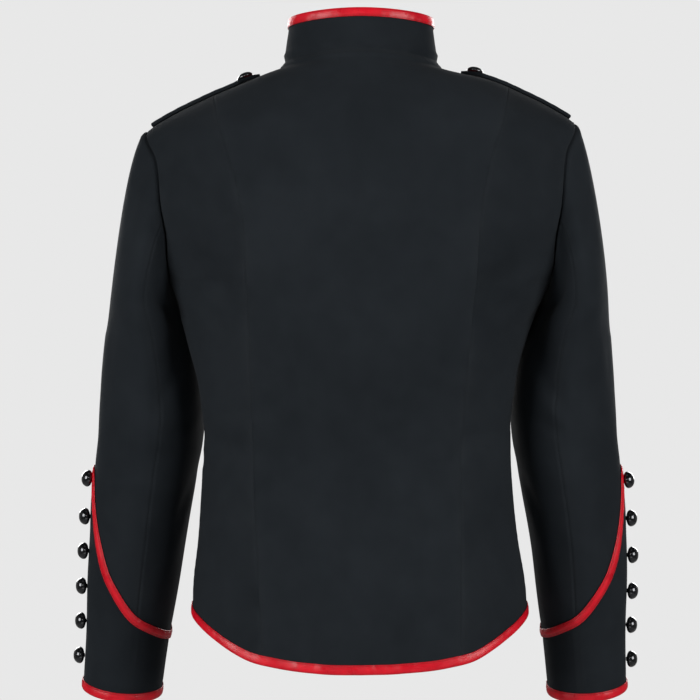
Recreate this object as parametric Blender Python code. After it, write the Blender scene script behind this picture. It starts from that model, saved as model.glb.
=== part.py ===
# Fitted military jacket, filled out as when it is worn, with nobody in it.
# Metres, +Z up. The back faces +Y, the front faces -Y, the wearer's left is +X.
# The origin lies between the two points where the shoulders meet the neck.

import bmesh
import bpy
import numpy as np
from mathutils import Matrix, Vector

# Cloth and trim
CLOTH_THICK = 0.0020
SATIN_THICK = 0.0010
SEAM_GAP = 0.0003
BINDING_DEEP = 0.0090
TAPE_WIDE = 0.0090
TAPE_LIFT = 0.0008

# Armhole: an upright oval on the side of the body
ARMHOLE_MIDDLE = -0.1485
ARMHOLE_HALF_TALL = 0.0865
ARMHOLE_BACK = 0.068
ARMHOLE_FRONT = 0.072
ARMHOLE_STEP = 15.0

# Body
NECK_LEVEL = 0.008
SHOULDER_TIP_LEVEL = ARMHOLE_MIDDLE + ARMHOLE_HALF_TALL
SEAM_MEETS_SHOULDER = -0.0240
FRONT_LAP = 0.0125
LAP_STARTS = 0.045
LAP_FULL = 0.016
LAP_RISE = CLOTH_THICK + SATIN_THICK + 0.0008
LAP_CLEAR = 0.0010
COLLAR_END = 178.0
LIFT_ROUNDING = 2.0

# The left shoulder hangs a little lower than the right one, from beside the neck outward.
SHOULDER_DROP = {"left": 0.0050, "right": -0.0040}
DROP_STARTS = 0.085
DROP_FULL = 0.150
DROP_LOWEST = -0.175
DROP_HIGHEST = -0.075

# Collar
COLLAR_TALL_SIDE = 0.0465
COLLAR_TALL_BACK = 0.0425
COLLAR_TALL_FRONT = 0.0445
COLLAR_TOP_SIDE = 0.0780
COLLAR_TOP_BACK = 0.0625
COLLAR_TOP_FRONT = 0.0730
COLLAR_SQUARE = 2.0

# Sleeve
BICEP_LEVEL = -0.250
CUFF_HEM_LEVEL = -0.6860
BACK_ARM_SEAM = 105.0
FRONT_ARM_SEAM = 240.0
HEAD_ROUNDING = {"left": 0.018, "right": 0.010}
HEAD_ROUNDING_SHARE = 0.30
HEAD_FALL_SHARE = {"left": 0.22, "right": 0.35}
HEAD_LEANS_BACK = 0.35

# Shoulder strap
STRAP_OUTER = 0.2265
STRAP_TIP = 0.1090
STRAP_HALF_WIDE = 0.023
STRAP_POINT_LONG = 0.022
STRAP_THICK = 0.003
STRAP_LIFT = 0.0008
STRAP_TIP_LIFT = 0.0025
STRAP_LIFTS_OVER = 0.040
STRAP_TIP_SHARE = 0.06
STRAP_BUTTON_AT = 0.1235
STRAP_BLUNT = 0.0004
STRAP_FORWARD = 0.014
STRAP_COLUMNS = 6
STRAP_ROWS = 6
POINT_ROWS = 3
LOWEST_SHOULDER = -0.100
HALVINGS = 40
SEAM_ROUNDS = 4
SEAM_FIRST_GUESS = 45.0
TRIM_WIDE = 0.0055
TRIM_INSET = 0.0008
TRIM_LIFT = 0.0006

# Buttons
BUTTON_RADIUS = 0.00925
BUTTON_TALL = 0.0122
STRAP_BUTTON_TALL = 0.0085
BUTTON_SIDES = 10
BUTTON_OUTLINE = (
    ("of_radius", "of_height"),
    (0.16, 0.00),
    (0.34, 0.14),
    (1.00, 0.34),
    (0.86, 0.70),
    (0.38, 1.00),
)
CUFF_BUTTON_TURN = 4.0
CUFF_BUTTON_TILT = 16.0
CUFF_BUTTON_FIRST = {"left": -0.4560, "right": -0.4585}
CUFF_BUTTON_STEP = 0.0391
CUFF_BUTTONS = 6
BUTTON_LIFT = 0.0006
CUFF_BUTTON_LIFTS = (0.0007, 0.0002, 0.0003, 0.0004, 0.0006, 0.0007)
FRONT_BUTTON_FIRST = -0.034
FRONT_BUTTON_STEP = 0.081
FRONT_BUTTONS = 7

SIDES = {"left": 1, "right": -1}

# Cross sections of the body from the hem up to the neck. The level is the height of the
# section's side point. The lifts raise or lower its centre back and its centre front.
BODY = (
    ("level", "side", "back", "front", "back_lift", "front_lift", "square", "shift"),
    (-0.7000, 0.1862, 0.1200, 0.1060, 0.0000, 0.0000, 2.30, 0.0008),
    (-0.6420, 0.1845, 0.1178, 0.1045, 0.0000, 0.0000, 2.30, 0.0010),
    (-0.5890, 0.1826, 0.1145, 0.1020, 0.0000, 0.0000, 2.30, 0.0012),
    (-0.5570, 0.1805, 0.1118, 0.1000, 0.0000, 0.0000, 2.30, 0.0020),
    (-0.5140, 0.1745, 0.1055, 0.0985, 0.0000, 0.0000, 2.30, 0.0032),
    (-0.4700, 0.1705, 0.0985, 0.0975, 0.0000, 0.0000, 2.30, 0.0042),
    (-0.4040, 0.1675, 0.0925, 0.0985, 0.0000, 0.0000, 2.30, 0.0042),
    (-0.3720, 0.1690, 0.0955, 0.1020, 0.0000, 0.0000, 2.32, 0.0038),
    (-0.3280, 0.1735, 0.1040, 0.1080, 0.0000, 0.0000, 2.35, 0.0028),
    (-0.2840, 0.1850, 0.1125, 0.1135, 0.0000, 0.0000, 2.40, 0.0014),
    (-0.2350, 0.2045, 0.1190, 0.1175, 0.0000, -0.0008, 2.43, 0.0000),
    (-0.2000, 0.2222, 0.1212, 0.1185, 0.0000, -0.0030, 2.43, 0.0000),
    (-0.1480, 0.2425, 0.1200, 0.1160, 0.0000, -0.0080, 2.38, 0.0000),
    (-0.1000, 0.2420, 0.1125, 0.1085, 0.0000, -0.0155, 2.28, 0.0000),
    (-0.0620, 0.2310, 0.1025, 0.1005, 0.0000, -0.0230, 2.18, 0.0000),
    (-0.0450, 0.2040, 0.0958, 0.0960, 0.0010, -0.0275, 2.10, 0.0000),
    (-0.0320, 0.1780, 0.0892, 0.0915, 0.0020, -0.0305, 2.05, 0.0000),
    (-0.0180, 0.1460, 0.0820, 0.0865, 0.0035, -0.0335, 2.00, 0.0000),
    (-0.0080, 0.1140, 0.0765, 0.0830, 0.0045, -0.0360, 2.00, 0.0000),
    (-0.0010, 0.0905, 0.0722, 0.0800, 0.0058, -0.0380, 2.00, 0.0000),
    (NECK_LEVEL, 0.0840, 0.0680, 0.0770, 0.0070, -0.0405, 2.00, 0.0000),
)

# The hem rises from the centre of the back, and of the front, to a corner at each side.
HEM = (
    ("away", "level"),
    (0.0, -0.6420),
    (20.0, -0.6412),
    (41.0, -0.6362),
    (51.0, -0.6305),
    (60.0, -0.6190),
    (66.0, -0.6108),
    (76.0, -0.5985),
    (90.0, -0.5890),
)

# The curved seam between the centre back and a side back: its distance from the centre.
BACK_SEAM = (
    ("level", "out"),
    (-0.6450, 0.1040),
    (-0.5000, 0.1080),
    (-0.3600, 0.1130),
    (-0.2500, 0.1200),
    (-0.1580, 0.1260),
    (-0.1000, 0.1390),
    (SHOULDER_TIP_LEVEL, 0.1510),
    (-0.0440, 0.1550),
    (-0.0310, 0.1580),
    (SEAM_MEETS_SHOULDER, 0.1592),
)

# The sleeve's centre line and the half sizes of its sections, from the bicep to the cuff hem.
SLEEVE = (
    ("level", "out", "back", "wide", "deep", "lean"),
    (-0.7100, 0.2636, -0.0655, 0.0438, 0.0411, 0.0000),
    (CUFF_HEM_LEVEL, 0.2608, -0.0610, 0.0440, 0.0415, 0.0020),
    (-0.6300, 0.2554, -0.0515, 0.0458, 0.0428, 0.0050),
    (-0.5610, 0.2487, -0.0405, 0.0507, 0.0460, 0.0100),
    (-0.5160, 0.2440, -0.0335, 0.0527, 0.0480, 0.0150),
    (-0.4710, 0.2392, -0.0265, 0.0551, 0.0500, 0.0210),
    (-0.4370, 0.2342, -0.0220, 0.0555, 0.0515, 0.0260),
    (-0.4040, 0.2291, -0.0195, 0.0567, 0.0530, 0.0300),
    (-0.3660, 0.2266, -0.0180, 0.0566, 0.0550, 0.0315),
    (-0.3280, 0.2283, -0.0165, 0.0528, 0.0590, 0.0300),
    (-0.2840, 0.2330, -0.0120, 0.0443, 0.0665, 0.0240),
    (BICEP_LEVEL, 0.2377, -0.0060, 0.0351, 0.0745, 0.0150),
    (-0.2200, 0.2358, -0.0010, 0.0325, 0.0755, 0.0080),
)

# The inner side of a sleeve lies further forward than its outer side. How much of the lean:
INNER_LEAN = {"left": 1.0, "right": 0.8}
LEAN_POWER = 1.5

# How far each sleeve hangs away from that centre line.
SLEEVE_SWING = {
    "left": (
        ("level", "out"),
        (CUFF_HEM_LEVEL, 0.0068),
        (-0.5610, 0.0045),
        (-0.4500, 0.0036),
        (-0.3600, 0.0040),
        (-0.3000, 0.0036),
        (BICEP_LEVEL, 0.0008),
        (-0.2200, -0.0016),
    ),
    "right": (
        ("level", "out"),
        (CUFF_HEM_LEVEL, -0.0066),
        (-0.6000, -0.0048),
        (-0.5200, -0.0022),
        (-0.4500, -0.0032),
        (-0.3600, -0.0034),
        (BICEP_LEVEL, -0.0026),
        (-0.2200, -0.0030),
    ),
}

# The seam between sleeve and cuff, by the angle away from the sleeve's outer line.
CUFF_LINE = (
    ("away", "level"),
    (0.0, -0.4460),
    (10.0, -0.4475),
    (18.0, -0.4555),
    (26.0, -0.4735),
    (44.0, -0.5180),
    (56.0, -0.5425),
    (75.0, -0.5680),
    (96.0, -0.5900),
    (125.0, -0.6050),
    (148.0, -0.6130),
    (180.0, -0.6190),
)

# The largest folds. Each lies at an angle and a level, runs at a slant from upright,
# and has a half length, a half width and a depth. A negative depth is a trough.
BODY_FOLDS = (
    ("angle", "level", "slant", "long", "wide", "depth"),
    (-22.0, -0.610, 3.0, 0.085, 0.024, -0.0035),
    (10.0, -0.615, -4.0, 0.075, 0.028, 0.0030),
    (38.0, -0.590, 6.0, 0.100, 0.024, -0.0040),
    (-52.0, -0.575, -8.0, 0.090, 0.026, 0.0030),
    (62.0, -0.225, 30.0, 0.060, 0.017, -0.0050),
    (-60.0, -0.230, -34.0, 0.066, 0.018, -0.0058),
    (72.0, -0.405, 78.0, 0.045, 0.013, -0.0035),
    (-70.0, -0.395, -74.0, 0.050, 0.014, -0.0040),
    (118.0, -0.230, -32.0, 0.060, 0.018, -0.0050),
    (-120.0, -0.225, 30.0, 0.058, 0.018, -0.0050),
    (140.0, -0.400, -70.0, 0.055, 0.015, -0.0035),
    (-138.0, -0.410, 68.0, 0.050, 0.014, -0.0038),
    (150.0, -0.600, 5.0, 0.080, 0.026, -0.0032),
    (-146.0, -0.590, -6.0, 0.085, 0.028, -0.0035),
    (78.0, -0.300, 4.0, 0.060, 0.028, 0.0085),
)
SLEEVE_FOLDS = {
    "left": (
        ("angle", "level", "slant", "long", "wide", "depth"),
        (128.0, -0.312, 24.0, 0.050, 0.015, -0.0050),
        (100.0, -0.415, 72.0, 0.036, 0.013, -0.0035),
        (272.0, -0.418, 84.0, 0.048, 0.013, -0.0060),
        (285.0, -0.462, 80.0, 0.040, 0.014, -0.0045),
        (232.0, -0.310, -28.0, 0.050, 0.016, -0.0050),
        (60.0, -0.340, 10.0, 0.060, 0.018, 0.0020),
        (180.0, -0.300, 0.0, 0.050, 0.030, 0.0026),
    ),
    "right": (
        ("angle", "level", "slant", "long", "wide", "depth"),
        (134.0, -0.306, 32.0, 0.056, 0.016, -0.0062),
        (92.0, -0.405, 66.0, 0.038, 0.014, -0.0038),
        (268.0, -0.414, 86.0, 0.050, 0.013, -0.0062),
        (280.0, -0.468, 78.0, 0.042, 0.014, -0.0048),
        (228.0, -0.316, -24.0, 0.052, 0.016, -0.0050),
        (56.0, -0.350, 8.0, 0.064, 0.018, 0.0020),
    ),
}
BODY_FOLD_RADIUS = 0.150
SLEEVE_FOLD_RADIUS = 0.052

# Rows of each grid
HEM_ROWS = 4
SIDE_LEVELS = (-0.530, -0.495, -0.460, -0.432, -0.404, -0.374, -0.344, -0.314, -0.284, -0.258)
SHOULDER_LEVELS = (
    -0.050, -0.0375, SEAM_MEETS_SHOULDER, -0.0234, -0.0140, -0.0065, -0.001, NECK_LEVEL,
)
BACK_COLUMNS = 10
SIDE_BACK_COLUMNS = 4
FRONT_COLUMNS = 6
CAP_ROWS = (0.0, 0.07, 0.18, 0.34, 0.55, 0.78)
TUBE_ROWS = 11
CUFF_ROWS = 4
COLLAR_ROWS = (0.0, 0.27, 0.54, 0.80, 1.0)

WOOL = {"color": (0.012, 0.014, 0.017, 1.0), "roughness": 0.85, "metallic": 0.0}
SATIN = {"color": (0.55, 0.004, 0.010, 1.0), "roughness": 0.38, "metallic": 0.0}
GUNMETAL = {"color": (0.030, 0.031, 0.034, 1.0), "roughness": 0.22, "metallic": 0.9}


# Steps along a surface over which its facing is worked out: in angle, level and share.
ANGLE_STEP = 0.5
LEVEL_STEP = 0.0006
SHARE_STEP = 0.01

# Cosine of the sharpest turn between two walls that share a mitred edge
SHARPEST_MITRE = 0.2
MITRE_FADES = (-0.2, 0.5)


# ---- curves through the tables ----

def read(table, column, at):
    """Value of a named column, on a smooth curve through the table's rows."""
    data = np.array(table[1:], float)
    data = data[np.argsort(data[:, 0])]
    x = data[:, 0]
    y = data[:, table[0].index(column)]
    slope = np.gradient(y, x)
    at = np.clip(at, x[0], x[-1])
    i = np.clip(np.searchsorted(x, at) - 1, 0, len(x) - 2)
    step = x[i + 1] - x[i]
    t = (at - x[i]) / step
    start = (1 + 2 * t) * (1 - t) ** 2 * y[i] + t * (1 - t) ** 2 * step * slope[i]
    end = t * t * (3 - 2 * t) * y[i + 1] + t * t * (t - 1) * step * slope[i + 1]
    return start + end


def ease(low, high, at):
    """0 below low, 1 above high, smooth between."""
    t = np.clip((at - low) / (high - low), 0.0, 1.0)
    return t * t * (3 - 2 * t)


def unit(vectors):
    return vectors / np.linalg.norm(vectors, axis=-1, keepdims=True)


def facing(surface, u, v, du, dv):
    """Unit normal of a surface that is a function of two numbers."""
    along_u = surface(u + du, v) - surface(u - du, v)
    along_v = surface(u, v + dv) - surface(u, v - dv)
    return unit(np.cross(along_u, along_v))


def mitre(first, second):
    """Direction of a seam's edge between two walls, 1 long across each of them."""
    both = np.sum(first * second, axis=-1, keepdims=True)
    return (first + second) / (1 + np.maximum(both, SHARPEST_MITRE))


def folds(table, angle, level, radius):
    """How far the folds move the cloth out at an angle and a level."""
    moved = 0.0
    for row in table[1:]:
        fold = dict(zip(table[0], row))
        turn = (angle - fold["angle"] + 180.0) % 360.0 - 180.0
        across = radius * np.radians(turn)
        up = level - fold["level"]
        slant = np.radians(fold["slant"])
        along = up * np.cos(slant) + across * np.sin(slant)
        off = across * np.cos(slant) - up * np.sin(slant)
        moved = moved + fold["depth"] * np.exp(-((along / fold["long"]) ** 2) - (off / fold["wide"]) ** 2)
    return moved


# ---- the body's surface ----

def ring(angle, side, depth, square):
    """Distance from the middle to a rounded section, by the angle from the centre back."""
    turn = np.radians(angle)
    across = (np.abs(np.sin(turn)) / side) ** square
    through = (np.abs(np.cos(turn)) / depth) ** square
    return (across + through) ** (-1.0 / square)


def body_form(angle, level):
    """Body without folds. Angle 0 is the centre back, 90 the wearer's left side."""
    turn = np.radians(angle)
    at_back = np.cos(turn) > 0
    depth = np.where(at_back, read(BODY, "back", level), read(BODY, "front", level))
    lift = np.where(at_back, read(BODY, "back_lift", level), read(BODY, "front_lift", level))
    reach = ring(angle, read(BODY, "side", level), depth, read(BODY, "square", level))
    height = level + lift * np.abs(np.cos(turn)) ** LIFT_ROUNDING
    out = reach * np.sin(turn)
    drop = np.where(out > 0, SHOULDER_DROP["left"], SHOULDER_DROP["right"])
    drop = drop * ease(DROP_STARTS, DROP_FULL, np.abs(out)) * ease(DROP_LOWEST, DROP_HIGHEST, level)
    return np.stack([out + read(BODY, "shift", level), reach * np.cos(turn), height - drop], axis=-1)


def body(angle, level):
    """Outer face of the body's cloth."""
    out = -facing(body_form, angle, level, ANGLE_STEP, LEVEL_STEP)
    return body_form(angle, level) + out * folds(BODY_FOLDS, angle, level, BODY_FOLD_RADIUS)[..., None]


def body_facing(angle, level):
    return -facing(body, angle, level, ANGLE_STEP, LEVEL_STEP)


def section_angle(level, out, column):
    """Angle at which a section, at its back or front, is this far from the middle plane."""
    side = read(BODY, "side", level)
    square = read(BODY, "square", level)
    share = np.clip(1 - (out / side) ** square, 0.0, 1.0)
    return np.degrees(np.arctan2(out, read(BODY, column, level) * share ** (1 / square)))


def armhole_place(turn):
    """Angle and level on the body of the armhole. Turn 0 is its top, 90 back, 180 armpit."""
    level = ARMHOLE_MIDDLE + ARMHOLE_HALF_TALL * np.cos(np.radians(turn))
    sine = np.sin(np.radians(turn))
    back = np.where(sine > 0, ARMHOLE_BACK, ARMHOLE_FRONT) * sine
    depth = np.where(sine > 0, read(BODY, "back", level), read(BODY, "front", level))
    square = read(BODY, "square", level)
    out = read(BODY, "side", level) * (1 - (np.abs(back) / depth) ** square) ** (1 / square)
    return np.degrees(np.arctan2(out, back)), level


def hem_level(angle):
    away = np.degrees(np.arccos(np.clip(np.abs(np.cos(np.radians(angle))), 0, 1)))
    return read(HEM, "level", away)


# ---- the sleeve's surface, worked out for the left arm and mirrored for the right ----

def sleeve_centre(level, side_name):
    out = read(SLEEVE, "out", level) + read(SLEEVE_SWING[side_name], "out", level)
    return np.stack([out, read(SLEEVE, "back", level), level + 0.0 * out], axis=-1)


def tube(angle, level, side_name):
    """Sleeve from the bicep down. Angle 0 is its outer line, 90 its back, 180 its inner line."""
    below = sleeve_centre(level - LEVEL_STEP, side_name)
    above = sleeve_centre(level + LEVEL_STEP, side_name)
    down = unit(below - above)
    backward = np.array([0.0, 1.0, 0.0]) - down * down[..., 1:2]
    backward = unit(backward)
    outward = np.cross(down, backward)
    turn = np.radians(angle)
    fold = folds(SLEEVE_FOLDS[side_name], angle, level, SLEEVE_FOLD_RADIUS)
    wide = (read(SLEEVE, "wide", level) + fold) * np.cos(turn)
    inner = np.maximum(-np.cos(turn), 0.0) ** LEAN_POWER * INNER_LEAN[side_name]
    deep = (read(SLEEVE, "deep", level) + fold) * np.sin(turn) - read(SLEEVE, "lean", level) * inner
    centre = sleeve_centre(level, side_name)
    return centre + outward * wide[..., None] + backward * deep[..., None]


def cap(turn, down, side_name):
    """Sleeve head: from the armhole (down 0) to the bicep (down 1)."""
    side = SIDES[side_name]
    angle, level = armhole_place(turn)
    start = body(side * angle, level) * np.array([side, 1, 1]) + np.array([SEAM_GAP, 0, 0])
    end = tube(turn, BICEP_LEVEL + 0.0 * turn, side_name)
    falling = unit(tube(turn, BICEP_LEVEL - LEVEL_STEP + 0.0 * turn, side_name) - end)
    cosine = np.cos(np.radians(turn))
    sine = np.sin(np.radians(turn))
    leaving = unit(np.stack([(1 + cosine) / 2, HEAD_LEANS_BACK * sine, (cosine - 1) / 2], axis=-1))
    reach = np.linalg.norm(end - start, axis=-1)
    rounding = np.minimum(HEAD_ROUNDING[side_name], HEAD_ROUNDING_SHARE * reach)
    first = start + leaving * rounding[..., None]
    second = end - falling * (HEAD_FALL_SHARE[side_name] * reach)[..., None]
    t = down[..., None] if np.ndim(down) else down
    return (
        (1 - t) ** 3 * start
        + 3 * (1 - t) ** 2 * t * first
        + 3 * (1 - t) * t**2 * second
        + t**3 * end
    )


def cuff_line(angle):
    away = np.abs((angle + 180.0) % 360.0 - 180.0)
    return read(CUFF_LINE, "level", away)


def tube_facing(angle, level, side_name):
    return facing(lambda a, b: tube(a, b, side_name), angle, level, ANGLE_STEP, LEVEL_STEP)


def cap_facing(turn, down, side_name):
    low = np.maximum(down - SHARE_STEP, 0.0)
    high = np.minimum(down + SHARE_STEP, 1.0)
    along = cap(turn, low, side_name) - cap(turn, high, side_name)
    around = cap(turn + ANGLE_STEP, down, side_name) - cap(turn - ANGLE_STEP, down, side_name)
    return unit(np.cross(around, along))


def armhole_edge(turn, side_name):
    """Directions through the cloth at the armhole, for the body's edge and the sleeve's."""
    side = SIDES[side_name]
    angle, level = armhole_place(turn)
    body_out = body_facing(side * angle, level) * np.array([side, 1, 1])
    sleeve_out = cap_facing(turn, 0.0 * turn, side_name)
    both = np.sum(body_out * sleeve_out, axis=-1, keepdims=True)
    share = ease(*MITRE_FADES, both)
    joined = mitre(body_out, sleeve_out)
    return share * joined + (1 - share) * body_out, share * joined + (1 - share) * sleeve_out


# ---- the collar's surface ----

def collar_surface(angle, up):
    turn = np.radians(angle)
    at_back = np.cos(turn) > 0
    base = body_form(angle, NECK_LEVEL + 0.0 * angle)
    top_depth = np.where(at_back, COLLAR_TOP_BACK, COLLAR_TOP_FRONT)
    top_tall = np.where(at_back, COLLAR_TALL_BACK, COLLAR_TALL_FRONT)
    tall = COLLAR_TALL_SIDE + (top_tall - COLLAR_TALL_SIDE) * np.cos(turn) ** 2
    reach = ring(angle, COLLAR_TOP_SIDE, top_depth, COLLAR_SQUARE)
    top = np.stack([reach * np.sin(turn), reach * np.cos(turn), base[..., 2] + tall], axis=-1)
    t = up[..., None] if np.ndim(up) else up
    return base + (top - base) * t


def collar_facing(angle, up):
    return -facing(collar_surface, angle, up, ANGLE_STEP, SHARE_STEP)


# ---- closed solids from grids of points ----

def add_object(name, verts, faces, look, smooth_angle=40.0):
    mesh = bpy.data.meshes.new(name)
    mesh.from_pydata([tuple(point) for point in verts], [], faces)
    shape = bmesh.new()
    shape.from_mesh(mesh)
    bmesh.ops.recalc_face_normals(shape, faces=shape.faces)
    shape.to_mesh(mesh)
    shape.free()
    mesh.shade_smooth()
    mesh.set_sharp_from_angle(angle=np.radians(smooth_angle))
    mesh.materials.append(make_material(name, look))
    obj = bpy.data.objects.new(name, mesh)
    bpy.context.scene.collection.objects.link(obj)
    return obj


def make_material(name, look):
    material = bpy.data.materials.new(name)
    material.use_nodes = True
    shader = material.node_tree.nodes["Principled BSDF"]
    shader.inputs["Base Color"].default_value = look["color"]
    shader.inputs["Roughness"].default_value = look["roughness"]
    shader.inputs["Metallic"].default_value = look["metallic"]
    return material


def wall(name, outer, inner, look=WOOL, around=False):
    """A wall of cloth between two grids of points, closed by rims along its edges."""
    rows, columns = outer.shape[:2]
    count = rows * columns
    across = columns if around else columns - 1

    def corner(layer, row, column):
        return layer * count + row * columns + column % columns

    faces = []
    for row in range(rows - 1):
        for column in range(across):
            for layer in (0, 1):
                faces.append((
                    corner(layer, row, column),
                    corner(layer, row, column + 1),
                    corner(layer, row + 1, column + 1),
                    corner(layer, row + 1, column),
                ))
    for row in (0, rows - 1):
        for column in range(across):
            faces.append((
                corner(0, row, column),
                corner(0, row, column + 1),
                corner(1, row, column + 1),
                corner(1, row, column),
            ))
    if not around:
        for column in (0, columns - 1):
            for row in range(rows - 1):
                faces.append((
                    corner(0, row, column),
                    corner(0, row + 1, column),
                    corner(1, row + 1, column),
                    corner(1, row, column),
                ))
    verts = np.concatenate([outer.reshape(-1, 3), inner.reshape(-1, 3)])
    return add_object(name, verts, faces, look)


def sweep(name, loops, look, around=False):
    """A solid through closed loops of points, with a flat cap at each end unless it goes round."""
    stations, points = loops.shape[:2]
    faces = []
    for station in range(stations if around else stations - 1):
        for point in range(points):
            after = (point + 1) % points
            here = station * points
            there = (station + 1) % stations * points
            faces.append((here + point, here + after, there + after, there + point))
    if not around:
        faces.append(tuple(range(points)))
        faces.append(tuple((stations - 1) * points + point for point in range(points)))
    return add_object(name, loops.reshape(-1, 3), faces, look)


def draw_back(grid, across, along=(0, 0)):
    """Moves a grid's edges half a seam gap into the panel. across: first and last column."""
    half = SEAM_GAP / 2
    moved = grid.copy()
    if across[0] is not None:
        rows = across[0]
        moved[rows, 0] += unit(grid[rows, 1] - grid[rows, 0]) * half
    if across[1] is not None:
        rows = across[1]
        moved[rows, -1] += unit(grid[rows, -2] - grid[rows, -1]) * half
    if along[0]:
        moved[0] += unit(grid[1] - grid[0]) * half
    if along[1]:
        moved[-1] += unit(grid[-2] - grid[-1]) * half
    return moved


def binding_loops(edge, edge_out, up, up_out):
    """Satin folded over an edge, from the panel's points there and a binding's depth away."""
    off = unit(edge - up)
    near = SEAM_GAP
    far = SEAM_GAP + SATIN_THICK
    back_near = CLOTH_THICK + near
    back_far = CLOTH_THICK + far
    return np.stack([
        up + up_out * near,
        up + up_out * far,
        edge + edge_out * far + off * far,
        edge - edge_out * back_far + off * far,
        up - up_out * back_far,
        up - up_out * back_near,
        edge - edge_out * back_near + off * near,
        edge + edge_out * near + off * near,
    ], axis=1)


# ---- body panels ----

def armhole_turns():
    """Turns from the armpit (180) up the back of the armhole to its top (0)."""
    return np.arange(180.0, -ARMHOLE_STEP / 2, -ARMHOLE_STEP)


def body_levels():
    arm = ARMHOLE_MIDDLE + ARMHOLE_HALF_TALL * np.cos(np.radians(armhole_turns()))
    return np.concatenate([SIDE_LEVELS, arm, SHOULDER_LEVELS])


def row_level(row, angle):
    """Level of a row of the body's grid: the lowest rows follow the hem."""
    levels = body_levels()
    hem = hem_level(angle)
    if row == 0:
        return hem
    if row < HEM_ROWS:
        bound = hem + BINDING_DEEP
        return bound + (levels[0] - bound) * (row - 1) / (HEM_ROWS - 1)
    return levels[row - HEM_ROWS] + 0.0 * hem


FIRST_ARM_ROW = HEM_ROWS + len(SIDE_LEVELS)
LAST_ARM_ROW = FIRST_ARM_ROW + round(180.0 / ARMHOLE_STEP)
SEAM_TOP_ROW = LAST_ARM_ROW + 1 + SHOULDER_LEVELS.index(SEAM_MEETS_SHOULDER)
ROWS = LAST_ARM_ROW + 1 + len(SHOULDER_LEVELS)


def side_angles(front):
    """For each row, the angle of the side seam, the armhole or the shoulder seam."""
    angles = np.full(ROWS, 90.0)
    turns = armhole_turns()
    turns = 360.0 - turns if front else turns
    arm_angles, _ = armhole_place(turns[1:-1])
    angles[FIRST_ARM_ROW + 1:LAST_ARM_ROW] = arm_angles
    return angles


def back_seam_angles():
    """For each row, the angle of the curved back seam."""
    angles = np.full(ROWS, 90.0)
    for row in range(SEAM_TOP_ROW + 1):
        angle = SEAM_FIRST_GUESS
        for _ in range(SEAM_ROUNDS):
            level = row_level(row, angle)
            angle = section_angle(level, read(BACK_SEAM, "out", level), "back")
        angles[row] = angle
    return angles


def between(first, last, columns):
    """Angles of a panel's columns, from one list of angles to another."""
    return first[:, None] + (last - first)[:, None] * np.linspace(0.0, 1.0, columns + 1)


def levels_of(angles):
    return np.stack([row_level(row, angles[row]) for row in range(len(angles))])


def lap_rise(points):
    """How far the upper front stands off, so that it clears the front below it."""
    return LAP_RISE * ease(-LAP_STARTS, -LAP_FULL, -points[..., 0])[..., None]


def body_panel(name, side_name, angles, arm_column, seams, lap=False):
    """A panel of the body. arm_column is its column along the armhole, if it has one."""
    levels = levels_of(angles)
    outer = body(angles, levels)
    out = body_facing(angles, levels)
    if lap:
        outer = outer + out * lap_rise(outer)
    if levels.shape[0] == ROWS:
        out[-1] = mitre(out[-1], collar_facing(angles[-1], 0.0 * angles[-1]))
    if arm_column is not None:
        turns = armhole_turns()[1:-1]
        turns = 360.0 - turns if "front" in name else turns
        edge, _ = armhole_edge(turns, side_name)
        out[FIRST_ARM_ROW + 1:LAST_ARM_ROW, arm_column] = edge * np.array([SIDES[side_name], 1, 1])
    inner = outer - out * CLOTH_THICK
    top = levels.shape[0] < ROWS
    return wall(name, draw_back(outer, seams, (0, top)), draw_back(inner, seams, (0, top)))


def seam_rows(armhole):
    """Rows of an edge that are seams: all, or all but those along the armhole."""
    rows = np.arange(ROWS)
    return rows[(rows <= FIRST_ARM_ROW) | (rows >= LAST_ARM_ROW)] if armhole else rows


def make_back():
    seam = back_seam_angles()
    angles = between(-seam, seam, BACK_COLUMNS)
    whole = seam_rows(False)
    body_panel("back_center", "left", angles, None, (whole, whole))
    edge = side_angles(False)
    rows = SEAM_TOP_ROW + 1
    by_arm = seam_rows(True)
    by_arm = by_arm[by_arm < rows]
    for side_name, side in SIDES.items():
        angles = side * between(seam, edge, SIDE_BACK_COLUMNS)[:rows]
        seams = (np.arange(rows), by_arm)
        body_panel("back_side_" + side_name, side_name, angles, -1, seams)


def front_angles():
    """Angles of a front's columns: to just short of the lap, the centre's two sides, past it."""
    depths = np.array([read(BODY, "front", row_level(row, 180.0)) for row in range(ROWS)])
    short = 180.0 - np.degrees(np.arcsin((FRONT_LAP + LAP_CLEAR) / depths))
    past = 180.0 + np.degrees(np.arcsin(FRONT_LAP / depths))
    centre = np.full((ROWS, 2), 180.0) + (COLLAR_END - 180.0, 180.0 - COLLAR_END)
    columns = between(side_angles(True), short, FRONT_COLUMNS)
    return np.concatenate([columns, centre, past[:, None]], axis=1)


def make_fronts():
    for side_name, side in SIDES.items():
        seams = (seam_rows(True), None)
        body_panel("front_" + side_name, side_name, side * front_angles(), 0, seams, lap=side > 0)


def hem_loops(angles, lap=False):
    edge_level = hem_level(angles)
    rows = []
    for level in (edge_level, edge_level + BINDING_DEEP):
        out = body_facing(angles, level)
        points = body(angles, level)
        if lap:
            points = points + out * lap_rise(points)
        rows += [points, out]
    return binding_loops(*rows)


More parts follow.
